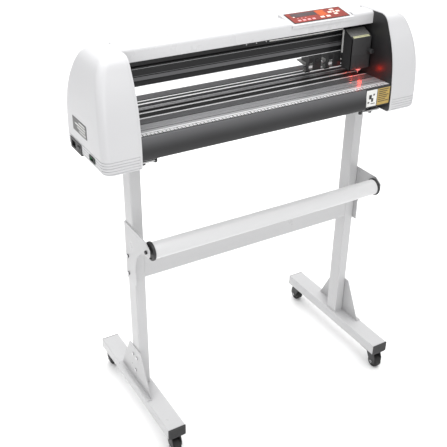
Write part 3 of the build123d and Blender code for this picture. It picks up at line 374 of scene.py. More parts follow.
# share of the cap's width at each share of the height
width_share = smooth_table([(0.0, 0.84), (0.012, 0.94), (0.04, 0.992), (0.08, 1.0), (0.36, 1.0),
                            (0.55, 0.975),
                            (0.70, 0.925), (0.82, 0.85), (0.92, 0.74), (0.975, 0.60), (1.0, 0.42)])
GROOVES = [8 * MM + k * 7 * MM for k in range(5)]
GROOVE_DEPTH = 1.3 * MM
CORNER_R = 20 * MM
RIM = 2.2 * MM  # edge of the cap's shell that laps over the side plate


def cap_heights():
    levels = [0.0, 0.006, 0.012, 0.022, 0.032]
    levels += [k / 60 for k in range(3, 55)] + [0.91, 0.925, 0.94, 0.95, 0.96, 0.97, 0.98, 0.988, 0.994,
                                                0.998, 1.0]
    for g in GROOVES:
        for d in (-1.1, -0.6, 0.6, 1.1):
            levels.append((g + d * MM) / CAP_H)
    return sorted(set(levels))


def groove_at(height):
    for g in GROOVES:
        if abs(height - g) < 0.7 * MM:
            return GROOVE_DEPTH
    return 0.0


def cap_slice(t, inset=0.0):
    """Plan outline at a share of the height, from the front inner corner round to the rear one."""
    dent = groove_at(t * CAP_H) + inset
    reach = HALF_DEPTH * depth_share(t) - dent
    outer = CAP_LO.x + CAP_W * width_share(t) - dent
    radius = min(CORNER_R, 0.42 * (outer - CAP_LO.x))
    points = [(CAP_LO.x + k / 4 * (outer - radius - CAP_LO.x), -reach) for k in range(4)]
    for k in range(13):
        a = math.pi / 2 * k / 12
        points.append((outer - radius + radius * math.sin(a), -reach + radius - radius * math.cos(a)))
    points += [(outer, -reach + radius + k / 12 * 2 * (reach - radius)) for k in range(1, 12)]
    for k in range(13):
        a = math.pi / 2 * k / 12
        points.append((outer - radius + radius * math.cos(a), reach - radius + radius * math.sin(a)))
    points += [(outer - radius + k / 4 * (CAP_LO.x - outer + radius), reach) for k in range(1, 5)]
    return points


def end_cap(side, name):
    bm = bmesh.new()
    rings = []
    for t in cap_heights():
        rings.append([bm.verts.new((side * x, y, CAP_LO.z + t * CAP_H)) for x, y in cap_slice(t)])
    for a, b in zip(rings, rings[1:]):
        for k in range(len(a) - 1):
            bm.faces.new((a[k], a[k + 1], b[k + 1], b[k]))
        bm.faces.new((a[-1], a[0], b[0], b[-1]))
    bm.faces.new(rings[0][::-1])
    bm.faces.new(rings[-1])
    return bm_object(name, bm, HOUSING)


def put_ring(bm, outer, inner, x0, x1):
    """Adds a band between two (y, z) outlines of equal count, run along X."""
    loops = [[bm.verts.new((x, y, z)) for y, z in line] for x in (x0, x1) for line in (outer, inner)]
    pairs = ((0, 1), (3, 2), (2, 0), (1, 3))
    count = len(outer)
    for a, b in pairs:
        for k in range(count):
            n = (k + 1) % count
            bm.faces.new((loops[a][k], loops[a][n], loops[b][n], loops[b][k]))


def plate_outline(inset):
    heights = cap_heights()
    front = [(-HALF_DEPTH * depth_share(t) + inset,
              CAP_LO.z + inset + t * (CAP_H - 2 * inset)) for t in heights]
    return front + [(-y, z) for y, z in reversed(front)]


def side_plate(side, name):
    bm = bmesh.new()
    x0, x1 = sorted((side * PLATE_LO.x, side * PLATE_HI.x))
    put_prism(bm, plate_outline(RIM), x0, x1)
    plate = bm_object(name, bm, BLACK_SHEET, smooth=False)
    bm = bmesh.new()
    put_ring(bm, plate_outline(0.2 * MM), plate_outline(RIM - 0.2 * MM), x0 + 0.3 * MM, x1)
    bm_object(name + "_rim", bm, HOUSING, smooth=False)
    bush_lo, bush_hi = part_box("grit_bushes")
    belt_lo, belt_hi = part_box("drive_belt")
    centre_y, centre_z = (bush_lo.y + bush_hi.y) / 2, (bush_lo.z + bush_hi.z) / 2
    middle = (x0 + x1) / 2
    clear = 4 * MM
    cut(plate, [
        lambda b: put_lathe(b, disc_profile(11 * MM, -6 * MM, 6 * MM, 0.1 * MM),
                            (middle, centre_y, centre_z), (1, 0, 0)),
        lambda b: put_box(b, (x0 - clear, belt_lo.y - clear, belt_lo.z - clear),
                          (x1 + clear, belt_hi.y + clear, belt_hi.z + clear)),
    ])
    return plate


def caps_and_plates():
    for side, word in ((-1, "left"), (1, "right")):
        cap = end_cap(side, word + "_cap_shell")
        replace(cap, "white_housing", word + "_end_cap")
        if side < 0:
            sockets = []
            for n in ("power_inlet",):
                lo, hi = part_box(n)
                sockets.append((lo - Vector((2 * MM, 0, 0)), hi + Vector((1 * MM, 0, 0))))
            lo, hi = DATA_LO, DATA_HI
            sockets.append((lo - Vector((2 * MM, 0, 0)), hi))
            cut(cap, [lambda b, s=s: put_box(b, s[0], s[1]) for s in sockets])
        plate = side_plate(side, word + "_plate_sheet")
        replace(plate, "black_sheet", word + "_side_plate")
        if side < 0:
            idler_mount()


def idler_mount():
    """Bracket and post of the idler pulley, bolted to the left plate."""
    lo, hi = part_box("idler_pulley")
    x, y = (lo.x + hi.x) / 2, (lo.y + hi.y) / 2
    bm = bmesh.new()
    put_box(bm, (x - 14 * MM, y - 14 * MM, lo.z - 6 * MM), (PLATE_LO.x * -1, y + 14 * MM, lo.z - 2 * MM),
            1 * MM)
    put_lathe(bm, disc_profile(2.9 * MM, lo.z - 4 * MM, hi.z + 3 * MM, 0.5 * MM), (x, y, 0), (0, 0, 1))
    bm_object("idler_bracket", bm, STEEL)


board_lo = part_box("control_board")[0]
DATA_LO = Vector((board_lo.x, -66 * MM, 827 * MM))
DATA_HI = Vector((board_lo.x + 14 * MM, -34 * MM, 841 * MM))


# ------------------------------------------------------------------ top cover and controls
COVER_LO, COVER_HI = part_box("top_cover")
HOUSE_LO, HOUSE_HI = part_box("control_housing")
SHEET_T = 2.5 * MM


def bent_sheet(path, thickness):
    """Closed outline of a sheet whose outer face follows a path in (y, z)."""
    inner = []
    for k, (y, z) in enumerate(path):
        a = Vector(path[max(k - 1, 0)])
        b = Vector(path[min(k + 1, len(path) - 1)])
        along = (b - a).normalized()
        inner.append((y + along.y * thickness, z - along.x * thickness))
    return list(path) + inner[::-1]


def arc(centre, radius, start, end, steps):
    """Points on an arc in (y, z), angles in degrees from +Y towards +Z."""
    out = []
    for k in range(steps + 1):
        a = math.radians(start + (end - start) * k / steps)
        out.append((centre[0] + radius * math.cos(a), centre[1] + radius * math.sin(a)))
    return out


def cover_path():
    bend = 10 * MM
    y0, top = COVER_LO.y, COVER_HI.z
    rear_top = 56 * MM
    path = [(y0 + 1.2 * MM, LIP_LOW + 0.2 * MM), (y0 + 0.3 * MM, LIP_LOW + 0.7 * MM),
            (y0, LIP_LOW + 1.6 * MM)]
    path += arc((y0 + bend, top - bend), bend, 180, 90, 10)
    path += [(rear_top - 5 * MM, top), (rear_top - 2 * MM, top - 0.4 * MM),
             (rear_top + 0.6 * MM, top - 2.2 * MM)]
    path += [(COVER_HI.y, COVER_LO.z)]
    return path


LIP_LOW = 1.030


def top_cover():
    bm = bmesh.new()
    path = cover_path()
    full = bent_sheet(path, SHEET_T)
    put_prism(bm, full, COVER_LO.x, HOUSE_LO.x)
    put_prism(bm, full, HOUSE_HI.x, COVER_HI.x)
    lip = path[:3] + [(COVER_LO.y, HOUSE_LO.z + 1 * MM)]
    put_prism(bm, bent_sheet(lip, SHEET_T), HOUSE_LO.x, HOUSE_HI.x)
    put_prism(bm, bent_sheet(path[-4:], SHEET_T), HOUSE_LO.x, HOUSE_HI.x)
    cover = bm_object("cover_sheet", bm, COVER_WHITE, smooth=False)
    replace(cover, "white_housing", "top_cover")
    for polygon in cover.data.polygons:
        polygon.use_smooth = abs(polygon.normal.x) < 0.5
    bm = bmesh.new()
    put_lathe(bm, disc_profile(2.6 * MM, 0, 1.0 * MM, 0.3 * MM),
              (COVER_LO.x + 4 * MM, 46 * MM, COVER_HI.z - 0.95 * MM),
              (0, 0, 1), 24)
    put_lathe(bm, disc_profile(2.6 * MM, 0, 1.0 * MM, 0.3 * MM),
              (COVER_HI.x - 6 * MM, 35 * MM, COVER_HI.z - 0.95 * MM),
              (0, 0, 1), 24)
    bm_object("cover_screws", bm, BLACK_PLASTIC)


PANEL_LO, PANEL_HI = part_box("keypad_panel")
PANEL_MID = (PANEL_LO + PANEL_HI) / 2
SLOPE = math.atan2(13, 63)
PANEL_W = PANEL_HI.x - PANEL_LO.x
PANEL_D = 54 * MM


def panel_frame(u, v, h=0.0):
    """A point on the keypad: u across from its middle, v up the slope, h above its face."""
    face = 0.6 * MM
    return Vector((PANEL_MID.x + u, PANEL_MID.y + v * math.cos(SLOPE) - (h + face) * math.sin(SLOPE),
                   PANEL_MID.z + v * math.sin(SLOPE) + (h + face) * math.cos(SLOPE)))


def put_key(bm, u, v, w, d, height, radius, index=0, turn=0.0):
    """Adds a domed key on the keypad, turned about the keypad's normal."""
    place = Matrix.Translation(panel_frame(u, v, -0.3 * MM)) @ Matrix.Rotation(SLOPE, 4,
            "X") @ Matrix.Rotation(turn, 4, "Z")
    put_box(bm, (-w / 2, -d / 2, 0), (w / 2, d / 2, height + 0.3 * MM), radius, 3, index, place)


def control_panel():
    bm = bmesh.new()
    x0, x1 = HOUSE_LO.x, HOUSE_HI.x
    y0, y1 = HOUSE_LO.y, HOUSE_HI.y
    top, base = HOUSE_HI.z, HOUSE_LO.z
    front = top - 13 * MM
    outline = [(y0, base), (y0, front - 5.2 * MM), (y0 + 0.8 * MM, front - 4.8 * MM),
               (y0 + 0.8 * MM, front - 4.0 * MM),
               (y0, front - 3.6 * MM), (y0, front - 1.0 * MM), (y0 + 1.0 * MM, front + 0.1 * MM),
               (y1 - 7 * MM, top - 0.2 * MM), (y1 - 4 * MM, top - 0.6 * MM), (y1, top - 3.4 * MM),
               (y1, COVER_HI.z),
               (y1 - 3 * MM, COVER_HI.z), (y1 - 3 * MM, base + 6 * MM), (y0 + 3 * MM, base + 6 * MM),
               (y0 + 3 * MM, base)]
    put_prism(bm, outline, x0, x1)
    bm.normal_update()
    ends = [e for e in bm.edges if abs(e.verts[0].co.x - e.verts[1].co.x) < 1e-7]
    bmesh.ops.bevel(bm, geom=ends, offset=0.7 * MM, segments=2, affect="EDGES", clamp_overlap=True)
    replace(bm_object("control_bezel", bm, COVER_WHITE), "white_housing", "control_housing")
    bm = bmesh.new()
    # a near-black frame round the keypad film: painted shadow in the gap where the film sits below the
    # bezel
    put_key(bm, 0, 0, PANEL_W, PANEL_D, -0.2 * MM, 0.1 * MM)
    bm_object("keypad_shadow_gap", bm, SHADOW_BLACK)
    bm = bmesh.new()
    put_key(bm, 0, 0, PANEL_W - 4 * MM, PANEL_D - 4 * MM, 0.05 * MM, 0.1 * MM)
    replace(bm_object("keypad_film", bm, RED_FILM), "keypad_film", "keypad_panel")
    bm = bmesh.new()
    put_key(bm, -36 * MM, 12 * MM, 76 * MM, 20 * MM, 0.25 * MM, 0.2 * MM)
    bm_object("keypad_window", bm, LCD_DARK)
    bm = bmesh.new()
    # orange patch in the middle of the keypad: a painted highlight on the red film
    put_key(bm, 18 * MM, 8 * MM, 26 * MM, 30 * MM, 0.12 * MM, 0.05 * MM)
    bm_object("keypad_painted_highlight", bm, PAINTED_KEYPAD_HIGHLIGHT)
    bm = bmesh.new()
    for k in range(4):
        put_key(bm, (-66 + 15 * k) * MM, -16 * MM, 9 * MM, 7 * MM, 0.7 * MM, 0.35 * MM)
    for k in range(3):
        put_key(bm, (-64 + 12 * k) * MM, -5 * MM, 4 * MM, 3 * MM, 0.5 * MM, 0.25 * MM)
    bm_object("keypad_small_keys", bm, KEY_PINK)
    bm = bmesh.new()
    for k in range(2):
        put_key(bm, (8 + 19 * k) * MM, -14 * MM, 12 * MM, 8 * MM, 0.8 * MM, 0.4 * MM)
    put_key(bm, -71 * MM, 4 * MM, 5 * MM, 4 * MM, 0.6 * MM, 0.3 * MM)
    arrows_u, arrows_v, spread = 56 * MM, 4 * MM, 11 * MM
    for k in range(4):
        a = math.pi / 2 * k
        put_key(bm, arrows_u + spread * 1.15 * math.cos(a), arrows_v + spread * math.sin(a), 12 * MM,
                7.5 * MM, 0.9 * MM,
                0.45 * MM)
    put_key(bm, arrows_u, arrows_v, 6 * MM, 6 * MM, 0.9 * MM, 0.45 * MM)
    bm_object("keypad_light_keys", bm, KEY_WHITE)


# ------------------------------------------------------------------ beam, rail, platen, guides
BEAM_LO, BEAM_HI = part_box("beam")
PLATEN_LO, PLATEN_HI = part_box("platen")


def banded_bar(name, bands, lo, hi, face_y, mats, slot, *cad):
    """A bar whose front face is built of level bands: (height, depth behind the face, material)."""
    outline, indices = [], []
    z = lo.z
    for height, depth, index in bands:
        y = face_y + depth
        if outline and abs(outline[-1][0] - y) > 1e-7:
            outline.append((y, z))
            indices.append(index)
        elif not outline:
            outline.append((y, z))
            indices.append(index)
        z += height
        outline.append((y, z))
        indices.append(index)
    indices = indices[1:] + [0]
    outline.append((hi.y, z))
    indices.append(0)
    outline.append((hi.y, lo.z))
    indices.append(0)
    bm = bmesh.new()
    put_prism(bm, outline, lo.x, hi.x, indices[:len(outline)])
    return replace(bm_object(name, bm, mats, smooth=False), slot, *cad)


def beam():
    # the bright band at the foot is a painted highlight along the bottom edge; the near-black bands are
    # painted shade in the recessed grooves
    bands = [(1.6 * MM, 0.0, 1), (0.6 * MM, 0.8 * MM, 2), (9.4 * MM, 0.4 * MM, 0), (1.2 * MM, 1.6 * MM, 2),
             (1.0 * MM, 0.4 * MM, 0), (1.0 * MM, 1.0 * MM, 2), (9.0 * MM, 0.0, 3), (2.2 * MM, 1.6 * MM, 2),
             (1.2 * MM, 0.2 * MM, 3), (14.0 * MM, 0.6 * MM, 0), (20.8 * MM, 0.4 * MM, 0)]
    total = sum(b[0] for b in bands)
    lo, hi = BEAM_LO, BEAM_HI
    bands[-1] = (bands[-1][0] + (hi.z - lo.z) - total, bands[-1][1], bands[-1][2])
    banded_bar("beam_extrusion", bands, lo, hi, lo.y, [DARK_ALLOY, BRIGHT_ALLOY, SHADOW_BLACK, GREY_ALLOY],
               "dark_extrusion", "beam")


def grooved_top(segments, rear_z, front_z, y0, y1, base):
    """Outline of a bar whose top is built of strips: (width, kind, material).

    Kind f is flat, r is ribbed and g is a groove.
    """
    outline, indices = [], []
    y = y0

    def level(v):
        return front_z + (rear_z - front_z) * (v - y0) / (y1 - y0)

    def add(yy, drop, index):
        outline.append((yy, level(yy) - drop))
        indices.append(index)
    for width, kind, index in segments:
        if kind == "f":
            add(y, 0, index)
            add(y + width, 0, index)
        elif kind == "g":
            add(y, 0, index)
            add(y + 0.01 * MM, 2.0 * MM, index)
            add(y + width - 0.01 * MM, 2.0 * MM, index)
            add(y + width, 0, index)
        elif kind == "s":
            add(y, 0.6 * MM, index)
            add(y + width, 0.6 * MM, index)
        elif kind == "r":
            count = max(1, round(width / (3.0 * MM)))
            pitch = width / count
            for k in range(count):
                yk = y + k * pitch
                add(yk, 0, index)
                add(yk + pitch * 0.55, 0, index)
                add(yk + pitch * 0.60, 0.9 * MM, index)
                add(yk + pitch * 0.95, 0.9 * MM, index)
        y += width
    outline.append((y1, level(y1) - base))
    indices.append(0)
    outline.append((y0, level(y0) - base))
    indices.append(0)
    return outline, indices


def platen():
    lo, hi = PLATEN_LO, PLATEN_HI
    # material 2 (near black) is painted shade on the groove floors
    strips = [(1.5 * MM, "f", 3), (2.0 * MM, "g", 2), (11.5 * MM, "f", 1), (2.0 * MM, "g", 2),
              (6.0 * MM, "f", 1),
              (11.0 * MM, "f", 4), (2.0 * MM, "g", 2), (31.0 * MM, "r", 4), (2.8 * MM, "g", 2),
              (28.2 * MM, "r", 0),
              (5.5 * MM, "f", 1), (4.0 * MM, "s", 3), (20.0 * MM, "s", 3), (6.0 * MM, "f", 1),
              (4.0 * MM, "r", 0),
              (9.0 * MM, "g", 2), (6.0 * MM, "f", 3)]
    total = sum(s[0] for s in strips)
    depth = hi.y - lo.y
    strips = [(w * depth / total, kind, index) for w, kind, index in strips]
    outline, indices = grooved_top(strips, hi.z, hi.z, lo.y, hi.y, 5 * MM)
    bm = bmesh.new()
    put_prism(bm, outline, lo.x, hi.x, indices)
    for y in (lo.y, -51 * MM, hi.y - 4 * MM):
        put_box(bm, (lo.x, y, lo.z), (hi.x, y + 4 * MM, hi.z - 4 * MM), index=3)
    skin = bm_object("platen_skin", bm, [GREY_ALLOY, BRIGHT_ALLOY, SHADOW_BLACK, DARK_ALLOY, MID_ALLOY],
                     smooth=False)
    replace(skin, "dark_extrusion", "platen")
    # ruler marks on the bright front lip
    bm = bmesh.new()
    y = lo.y + 3.8 * MM
    count = int((hi.x - lo.x) / (10 * MM))
    for k in range(1, count):
        x = lo.x + k * 10 * MM
        length = 10.5 * MM if k % 5 == 0 else 8.0 * MM
        put_box(bm, (x - 1.6 * MM, y, hi.z - 0.3 * MM), (x + 1.6 * MM, y + length, hi.z + 0.06 * MM),
                index=0)
        put_box(bm, (x + 4.2 * MM, y, hi.z - 0.3 * MM), (x + 5.8 * MM, y + 4 * MM, hi.z + 0.06 * MM),
                index=0)
    bm_object("ruler_marks", bm, PRINT_BLACK, smooth=False)
    bm = bmesh.new()
    strip_lo, strip_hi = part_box("cutting_strip")
    put_box(bm, strip_lo, strip_hi, 0.35 * MM, 2)
    replace(bm_object("cutting_strip_rubber", bm, RUBBER), "rubber", "cutting_strip")


def rear_guide():
    lo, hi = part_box("rear_guide")
    front_z = PLATEN_HI.z
    # material 2 (near black) is painted shade on the groove floors
    strips = [(1.0 * MM, "f", 3), (1.6 * MM, "g", 2), (4.5 * MM, "f", 1), (5.5 * MM, "f", 3),
              (2.0 * MM, "g", 2),
              (3.5 * MM, "f", 1), (3.0 * MM, "g", 2), (19.0 * MM, "r", 0), (2.9 * MM, "f", 1)]
    total = sum(s[0] for s in strips)
    depth = hi.y - lo.y
    strips = [(w * depth / total, kind, index) for w, kind, index in strips]
    outline, indices = grooved_top(strips, hi.z, front_z, lo.y, hi.y, 4 * MM)
    bm = bmesh.new()
    put_prism(bm, outline, lo.x, hi.x, indices)
    put_box(bm, (lo.x, 96 * MM, lo.z), (hi.x, 100 * MM, front_z + 3 * MM), index=3)
    skin = bm_object("rear_guide_skin", bm, [GREY_ALLOY, BRIGHT_ALLOY, SHADOW_BLACK, DARK_ALLOY],
                     smooth=False)
    replace(skin, "dark_extrusion", "rear_guide")


def front_apron():
    lo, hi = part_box("front_apron")
    y_in = PLATEN_LO.y
    path = [(y_in - 0.5 * MM, hi.z - 0.2 * MM), (y_in - 1.6 * MM, hi.z - 1.0 * MM)]
    bulge = y_in - lo.y
    steps = 14
    for k in range(steps + 1):
        t = k / steps
        path.append((y_in - 2 * MM - (bulge - 2 * MM) * math.sin(t * math.pi / 2),
                     hi.z - 2 * MM - t * 47 * MM))
    path += [(lo.y + 1.2 * MM, lo.z + 2.0 * MM), (lo.y + 4 * MM, lo.z), (y_in + 14 * MM, lo.z)]
    bm = bmesh.new()
    put_prism(bm, bent_sheet([(y, z) for y, z in path[::-1]], 2.5 * MM), lo.x, hi.x)
    apron = bm_object("apron_sheet", bm, APRON_BLACK, smooth=False)
    for polygon in apron.data.polygons:
        polygon.use_smooth = abs(polygon.normal.x) < 0.5
    replace(apron, "black_sheet", "front_apron")


def labels():
    """Label plate with two generic printed panels: blocks and lines only."""
    lo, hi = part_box("label_plate")
    face = lo.y
    bm = bmesh.new()
    put_box(bm, (lo.x, face + 0.6 * MM, lo.z), (hi.x, hi.y - 20 * MM, hi.z), 0.8 * MM)
    put_box(bm, (lo.x, face + 0.6 * MM, lo.z), (hi.x, hi.y, lo.z + 2 * MM), 0.4 * MM)
    replace(bm_object("label_plate_sheet", bm, BLACK_SHEET), "black_plastic", "label_plate")
    split = lo.x + 0.46 * (hi.x - lo.x)
    z0, z1 = lo.z + 3 * MM, hi.z - 3 * MM
    bm = bmesh.new()
    put_box(bm, (lo.x + 1.5 * MM, face + 0.35 * MM, z0), (split - 1 * MM, face + 0.8 * MM, z1), 0.2 * MM)
    bm_object("label_white_sticker", bm, LABEL_WHITE)
    bm = bmesh.new()
    put_box(bm, (split + 1 * MM, face + 0.35 * MM, z0), (hi.x - 2.5 * MM, face + 0.8 * MM, z1), 0.2 * MM)
    bm_object("label_yellow_sticker", bm, LABEL_YELLOW)
    bm = bmesh.new()
    y0, y1 = face + 0.15 * MM, face + 0.5 * MM
    cx, cz = (lo.x + split) / 2, (z0 + z1) / 2
    for dx, dz, w, h in ((-4, 4, 9, 12), (3, -5, 7, 10), (8, 9, 5, 5), (-9, -11, 6, 4), (6, -15, 14, 2)):
        put_box(bm, (cx + (dx - w / 2) * MM, y0, cz + (dz - h / 2) * MM),
                (cx + (dx + w / 2) * MM, y1, cz + (dz + h / 2) * MM),
                0.1 * MM)
    for k in range(7):
        z = z1 - (5 + 5.4 * k) * MM
        put_box(bm, (split + 4 * MM, y0, z), (hi.x - (6 + 5 * (k % 3)) * MM, y1, z + 2.0 * MM), 0.1 * MM)
    bm_object("label_print", bm, PRINT_BLACK)


def rail_and_cable():
    lo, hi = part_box("guide_rail")
    bm = bmesh.new()
    put_box(bm, lo, hi, 1.0 * MM, 2)
    replace(bm_object("rail_bar", bm, DARK_ALLOY), "machined_alloy", "guide_rail")
    bm = bmesh.new()
    put_box(bm, (lo.x, lo.y - 0.3 * MM, (lo.z + hi.z) / 2 - 0.7 * MM),
            (hi.x, lo.y + 0.5 * MM, (lo.z + hi.z) / 2 + 0.7 * MM), 0.3 * MM)
    bm_object("rail_track", bm, MID_ALLOY)
    lo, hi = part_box("flex_cable")
    anchor_lo, anchor_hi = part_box("cable_anchor")
    bm = bmesh.new()
    steps = 60
    outline = []
    for k in range(steps + 1):
        t = k / steps
        x = lo.x + t * (hi.x - lo.x)
        sag = 1.2 * MM * math.sin(math.pi * t)
        outline.append((x, sag))
    for x, sag in outline:
        for y in (lo.y, hi.y):
            for z in (hi.z - 2.6 * MM, hi.z):
                bm.verts.new((x, y, z - sag))
    bm.verts.ensure_lookup_table()
    for k in range(steps):
        a, b = 4 * k, 4 * (k + 1)
        for i, j in ((0, 1), (1, 3), (3, 2), (2, 0)):
            bm.faces.new((bm.verts[a + i], bm.verts[a + j], bm.verts[b + j], bm.verts[b + i]))
    bm.faces.new([bm.verts[i] for i in (0, 2, 3, 1)])
    bm.faces.new([bm.verts[4 * steps + i] for i in (0, 1, 3, 2)])
    cable = bm_object("flat_cable", bm, RIBBON, None, smooth=False)
    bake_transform(cable)
    replace(cable, "flat_cable", "flex_cable")
    bm = bmesh.new()
    put_box(bm, anchor_lo, anchor_hi, 1.0 * MM, 2)
    replace(bm_object("cable_clamp", bm, BLACK_PLASTIC), "black_plastic", "cable_anchor")
    bm = bmesh.new()
    mid = (anchor_lo.z + anchor_hi.z) / 2
    for x in (anchor_lo.x + 8 * MM, (anchor_lo.x + anchor_hi.x) / 2, anchor_hi.x - 8 * MM):
        put_lathe(bm, disc_profile(1.7 * MM, 0, 1.4 * MM, 0.4 * MM), (x, anchor_lo.y, mid), (0, -1, 0), 20)
    bm_object("cable_clamp_screws", bm, STEEL)


# ------------------------------------------------------------------ carriage
def carriage():
    lo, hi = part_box("carriage_cover")
    x0, x1 = lo.x, hi.x
    front, back = lo.y, hi.y
    top_front, top_back = hi.z - 18 * MM, hi.z
    wall = 2 * MM
    bm = bmesh.new()
    outline = [(front, lo.z), (front, top_front - 1.5 * MM), (front + 1.2 * MM, top_front + 0.3 * MM),
               (back, top_back),
               (back, top_back - wall), (front + wall, top_front - wall), (front + wall, lo.z)]
    put_prism(bm, outline, x0, x1)
    for x in (x0, x1 - wall):
        put_prism(bm, [(front, lo.z), (front, top_front - 1.5 * MM),
                       (front + 1.2 * MM, top_front + 0.3 * MM),
                       (back, top_back), (back, lo.z)], x, x + wall)
    # fine vent ribs on the lower half of the front
    ribs = 26
    for k in range(ribs):
        x = x0 + 5 * MM + k * (x1 - x0 - 10 * MM) / (ribs - 1)
        put_box(bm, (x - 0.55 * MM, front - 0.45 * MM, lo.z + 5 * MM),
                (x + 0.55 * MM, front + 0.5 * MM, lo.z + 40 * MM))
    cover = bm_object("head_cover", bm, BLACK_PLASTIC, "carriage", smooth=False)
    replace(cover, "black_plastic", "carriage_cover")
    slope = math.atan2(top_back - top_front, back - front)

    def on_slope(s, h):
        return (front + s * math.cos(slope) - h * math.sin(slope),
                top_front + s * math.sin(slope) + h * math.cos(slope))

    def slope_strip(name, s0, s1, inset, height, material):
        strip = bmesh.new()
        put_prism(strip, [on_slope(s0, 0.0), on_slope(s0, height), on_slope(s1, height), on_slope(s1, 0.0)],
                  x0 + inset, x1 - inset)
        bm_object(name, strip, material, "carriage", smooth=False)
    slope_strip("head_label_strip", 1.6 * MM, 4.4 * MM, 6 * MM, 0.35 * MM, LABEL_PALE)
    slope_strip("head_label_line", 6.0 * MM, 8.2 * MM, 6 * MM, 0.35 * MM, LABEL_PALE)
    slope_strip("head_top_sheet", 9.0 * MM, 38 * MM, 1 * MM, 0.30 * MM, MID_GREY)
    paint(DARK_ALLOY, "carriage_plate")
    # bright edge of the back plate and its screw heads: partly the bare machined edge's own light colour,
    # partly a painted highlight along that edge
    plate_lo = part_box("carriage_plate")[0]
    bm = bmesh.new()
    put_box(bm, (plate_lo.x - 1.6 * MM, plate_lo.y - 1 * MM, BEAM_LO.z - 2 * MM),
            (plate_lo.x + 0.4 * MM, plate_lo.y + 4 * MM, BEAM_HI.z - 2 * MM), 0.4 * MM)
    for z in (plate_lo.z + 10 * MM, (plate_lo.z + BEAM_HI.z) / 2, BEAM_HI.z - 12 * MM):
        put_lathe(bm, disc_profile(1.8 * MM, 0, 2.2 * MM, 0.4 * MM),
                  (plate_lo.x - 0.2 * MM, plate_lo.y + 2 * MM, z),
                  (-1, 0, 0), 18)
    bm_object("back_plate_bright_edge", bm, LABEL_WHITE, "carriage")
    laser_lo, laser_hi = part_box("laser_module")
    cx, cy = (laser_lo.x + laser_hi.x) / 2, (laser_lo.y + laser_hi.y) / 2
    bm = bmesh.new()
    put_lathe(bm, disc_profile(3.4 * MM, 0, 0.8 * MM, 0.3 * MM), (cx, cy, laser_lo.z + 0.3 * MM),
              (0, 0, -1), 28)
    bm_object("laser_lens", bm, LASER_RED, "carriage")
    paint(BRONZE, "laser_module")


def knob_and_tool():
    lo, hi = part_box("clamp_knob")
    cx, cz = (lo.x + hi.x) / 2, (lo.z + hi.z) / 2
    y = lo.y
    bm = bmesh.new()
    r = 7 * MM
    put_lathe(bm, [(0, 0), (r * 0.7, 0), (r * 0.92, 0.8 * MM), (r * 0.94, 15.5 * MM), (r * 0.7, 16 * MM),
                   (0, 16 * MM)],
              (cx, y, cz), (0, 1, 0), 36)
    for k in range(18):
        a = 2 * math.pi * k / 18
        turn = Matrix.Translation((cx, y, cz)) @ Matrix.Rotation(a, 4, "Y")
        put_box(bm, (-0.7 * MM, 1.0 * MM, r * 0.85), (0.7 * MM, 15.2 * MM, r * 0.995), 0.3 * MM, 2, 0, turn)
    put_lathe(bm, disc_profile(3 * MM, 15 * MM, hi.y - y, 0.3 * MM), (cx, y, cz), (0, 1, 0), 24)
    replace(bm_object("knob_grip", bm, BLACK_PLASTIC, "knob"), "black_plastic", "clamp_knob")
    lo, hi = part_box("tool_holder")
    cx, cy = (lo.x + hi.x) / 2, (lo.y + hi.y) / 2
    r = (hi.x - lo.x) / 2
    h = hi.z - lo.z
    profile = [(0, 0), (1.0 * MM, 0.3 * MM), (1.2 * MM, 5 * MM), (2.6 * MM, 5.2 * MM), (3.2 * MM, 6 * MM),
               (r * 0.92, 10 * MM)]
    z = 10.5 * MM
    while z < h - 4 * MM:
        profile += [(r, z), (r, z + 2.4 * MM), (r * 0.93, z + 2.6 * MM), (r * 0.93, z + 3.6 * MM)]
        z += 4.0 * MM
    profile += [(r, h - 3 * MM), (r, h - 0.8 * MM), (r * 0.8, h), (0, h)]
    bm = bmesh.new()
    put_lathe(bm, profile, (cx, cy, lo.z), (0, 0, 1), 48)
    replace(bm_object("blade_holder", bm, BRIGHT_ALLOY, "tool"), "machined_alloy", "tool_holder")


# ------------------------------------------------------------------ pinch units
def pinch_unit(letter):
    body = "pinch_unit_" + letter
    lo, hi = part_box("pinch_block_" + letter)
    paint(BLACK_PLASTIC, "pinch_block_" + letter)
    paint(MID_GREY, "pinch_arm_" + letter)
    mid_z = BEAM_LO.z - 20 * MM
    bm = bmesh.new()
    put_box(bm, (lo.x + 14 * MM, lo.y - 1.5 * MM, lo.z + 1 * MM), (hi.x, lo.y + 3 * MM, BEAM_LO.z - 1 * MM),
            2.5 * MM, 3)
    put_lathe(bm, disc_profile(7.5 * MM, -1.0 * MM, 3 * MM, 1.2 * MM),
              (hi.x - 13 * MM, lo.y - 1.5 * MM, mid_z + 4 * MM), (0, -1, 0), 32)
    bm_object("pinch_cover_" + letter, bm, BLACK_PLASTIC, body)
    bm = bmesh.new()
    put_box(bm, (lo.x, lo.y - 1.2 * MM, mid_z - 14 * MM), (lo.x + 13 * MM, lo.y + 1 * MM, mid_z - 6 * MM),
            0.8 * MM, 2, 1)
    bm_object("pinch_bracket_" + letter, bm, [BRIGHT_ALLOY, MID_GREY], body)
    wheel_lo, wheel_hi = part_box("pinch_wheel_" + letter)
    c = (wheel_lo + wheel_hi) / 2
    r = (wheel_hi.z - wheel_lo.z) / 2
    half = 7.5 * MM
    bm = bmesh.new()
    put_lathe(bm, [(2.5 * MM, -half), (r - 1.2 * MM, -half), (r, -half + 1.0 * MM), (r, half - 1.0 * MM),
                   (r - 1.2 * MM, half), (2.5 * MM, half)], c, (1, 0, 0), 48)
    put_lathe(bm, disc_profile(2.5 * MM, wheel_lo.x - c.x, wheel_hi.x - c.x, 0.3 * MM), c, (1, 0, 0), 24, 1)
    replace(bm_object("pinch_tyre_" + letter, bm, [RUBBER, STEEL], "pinch_wheel_" + letter), "rubber",
            "pinch_wheel_" + letter)


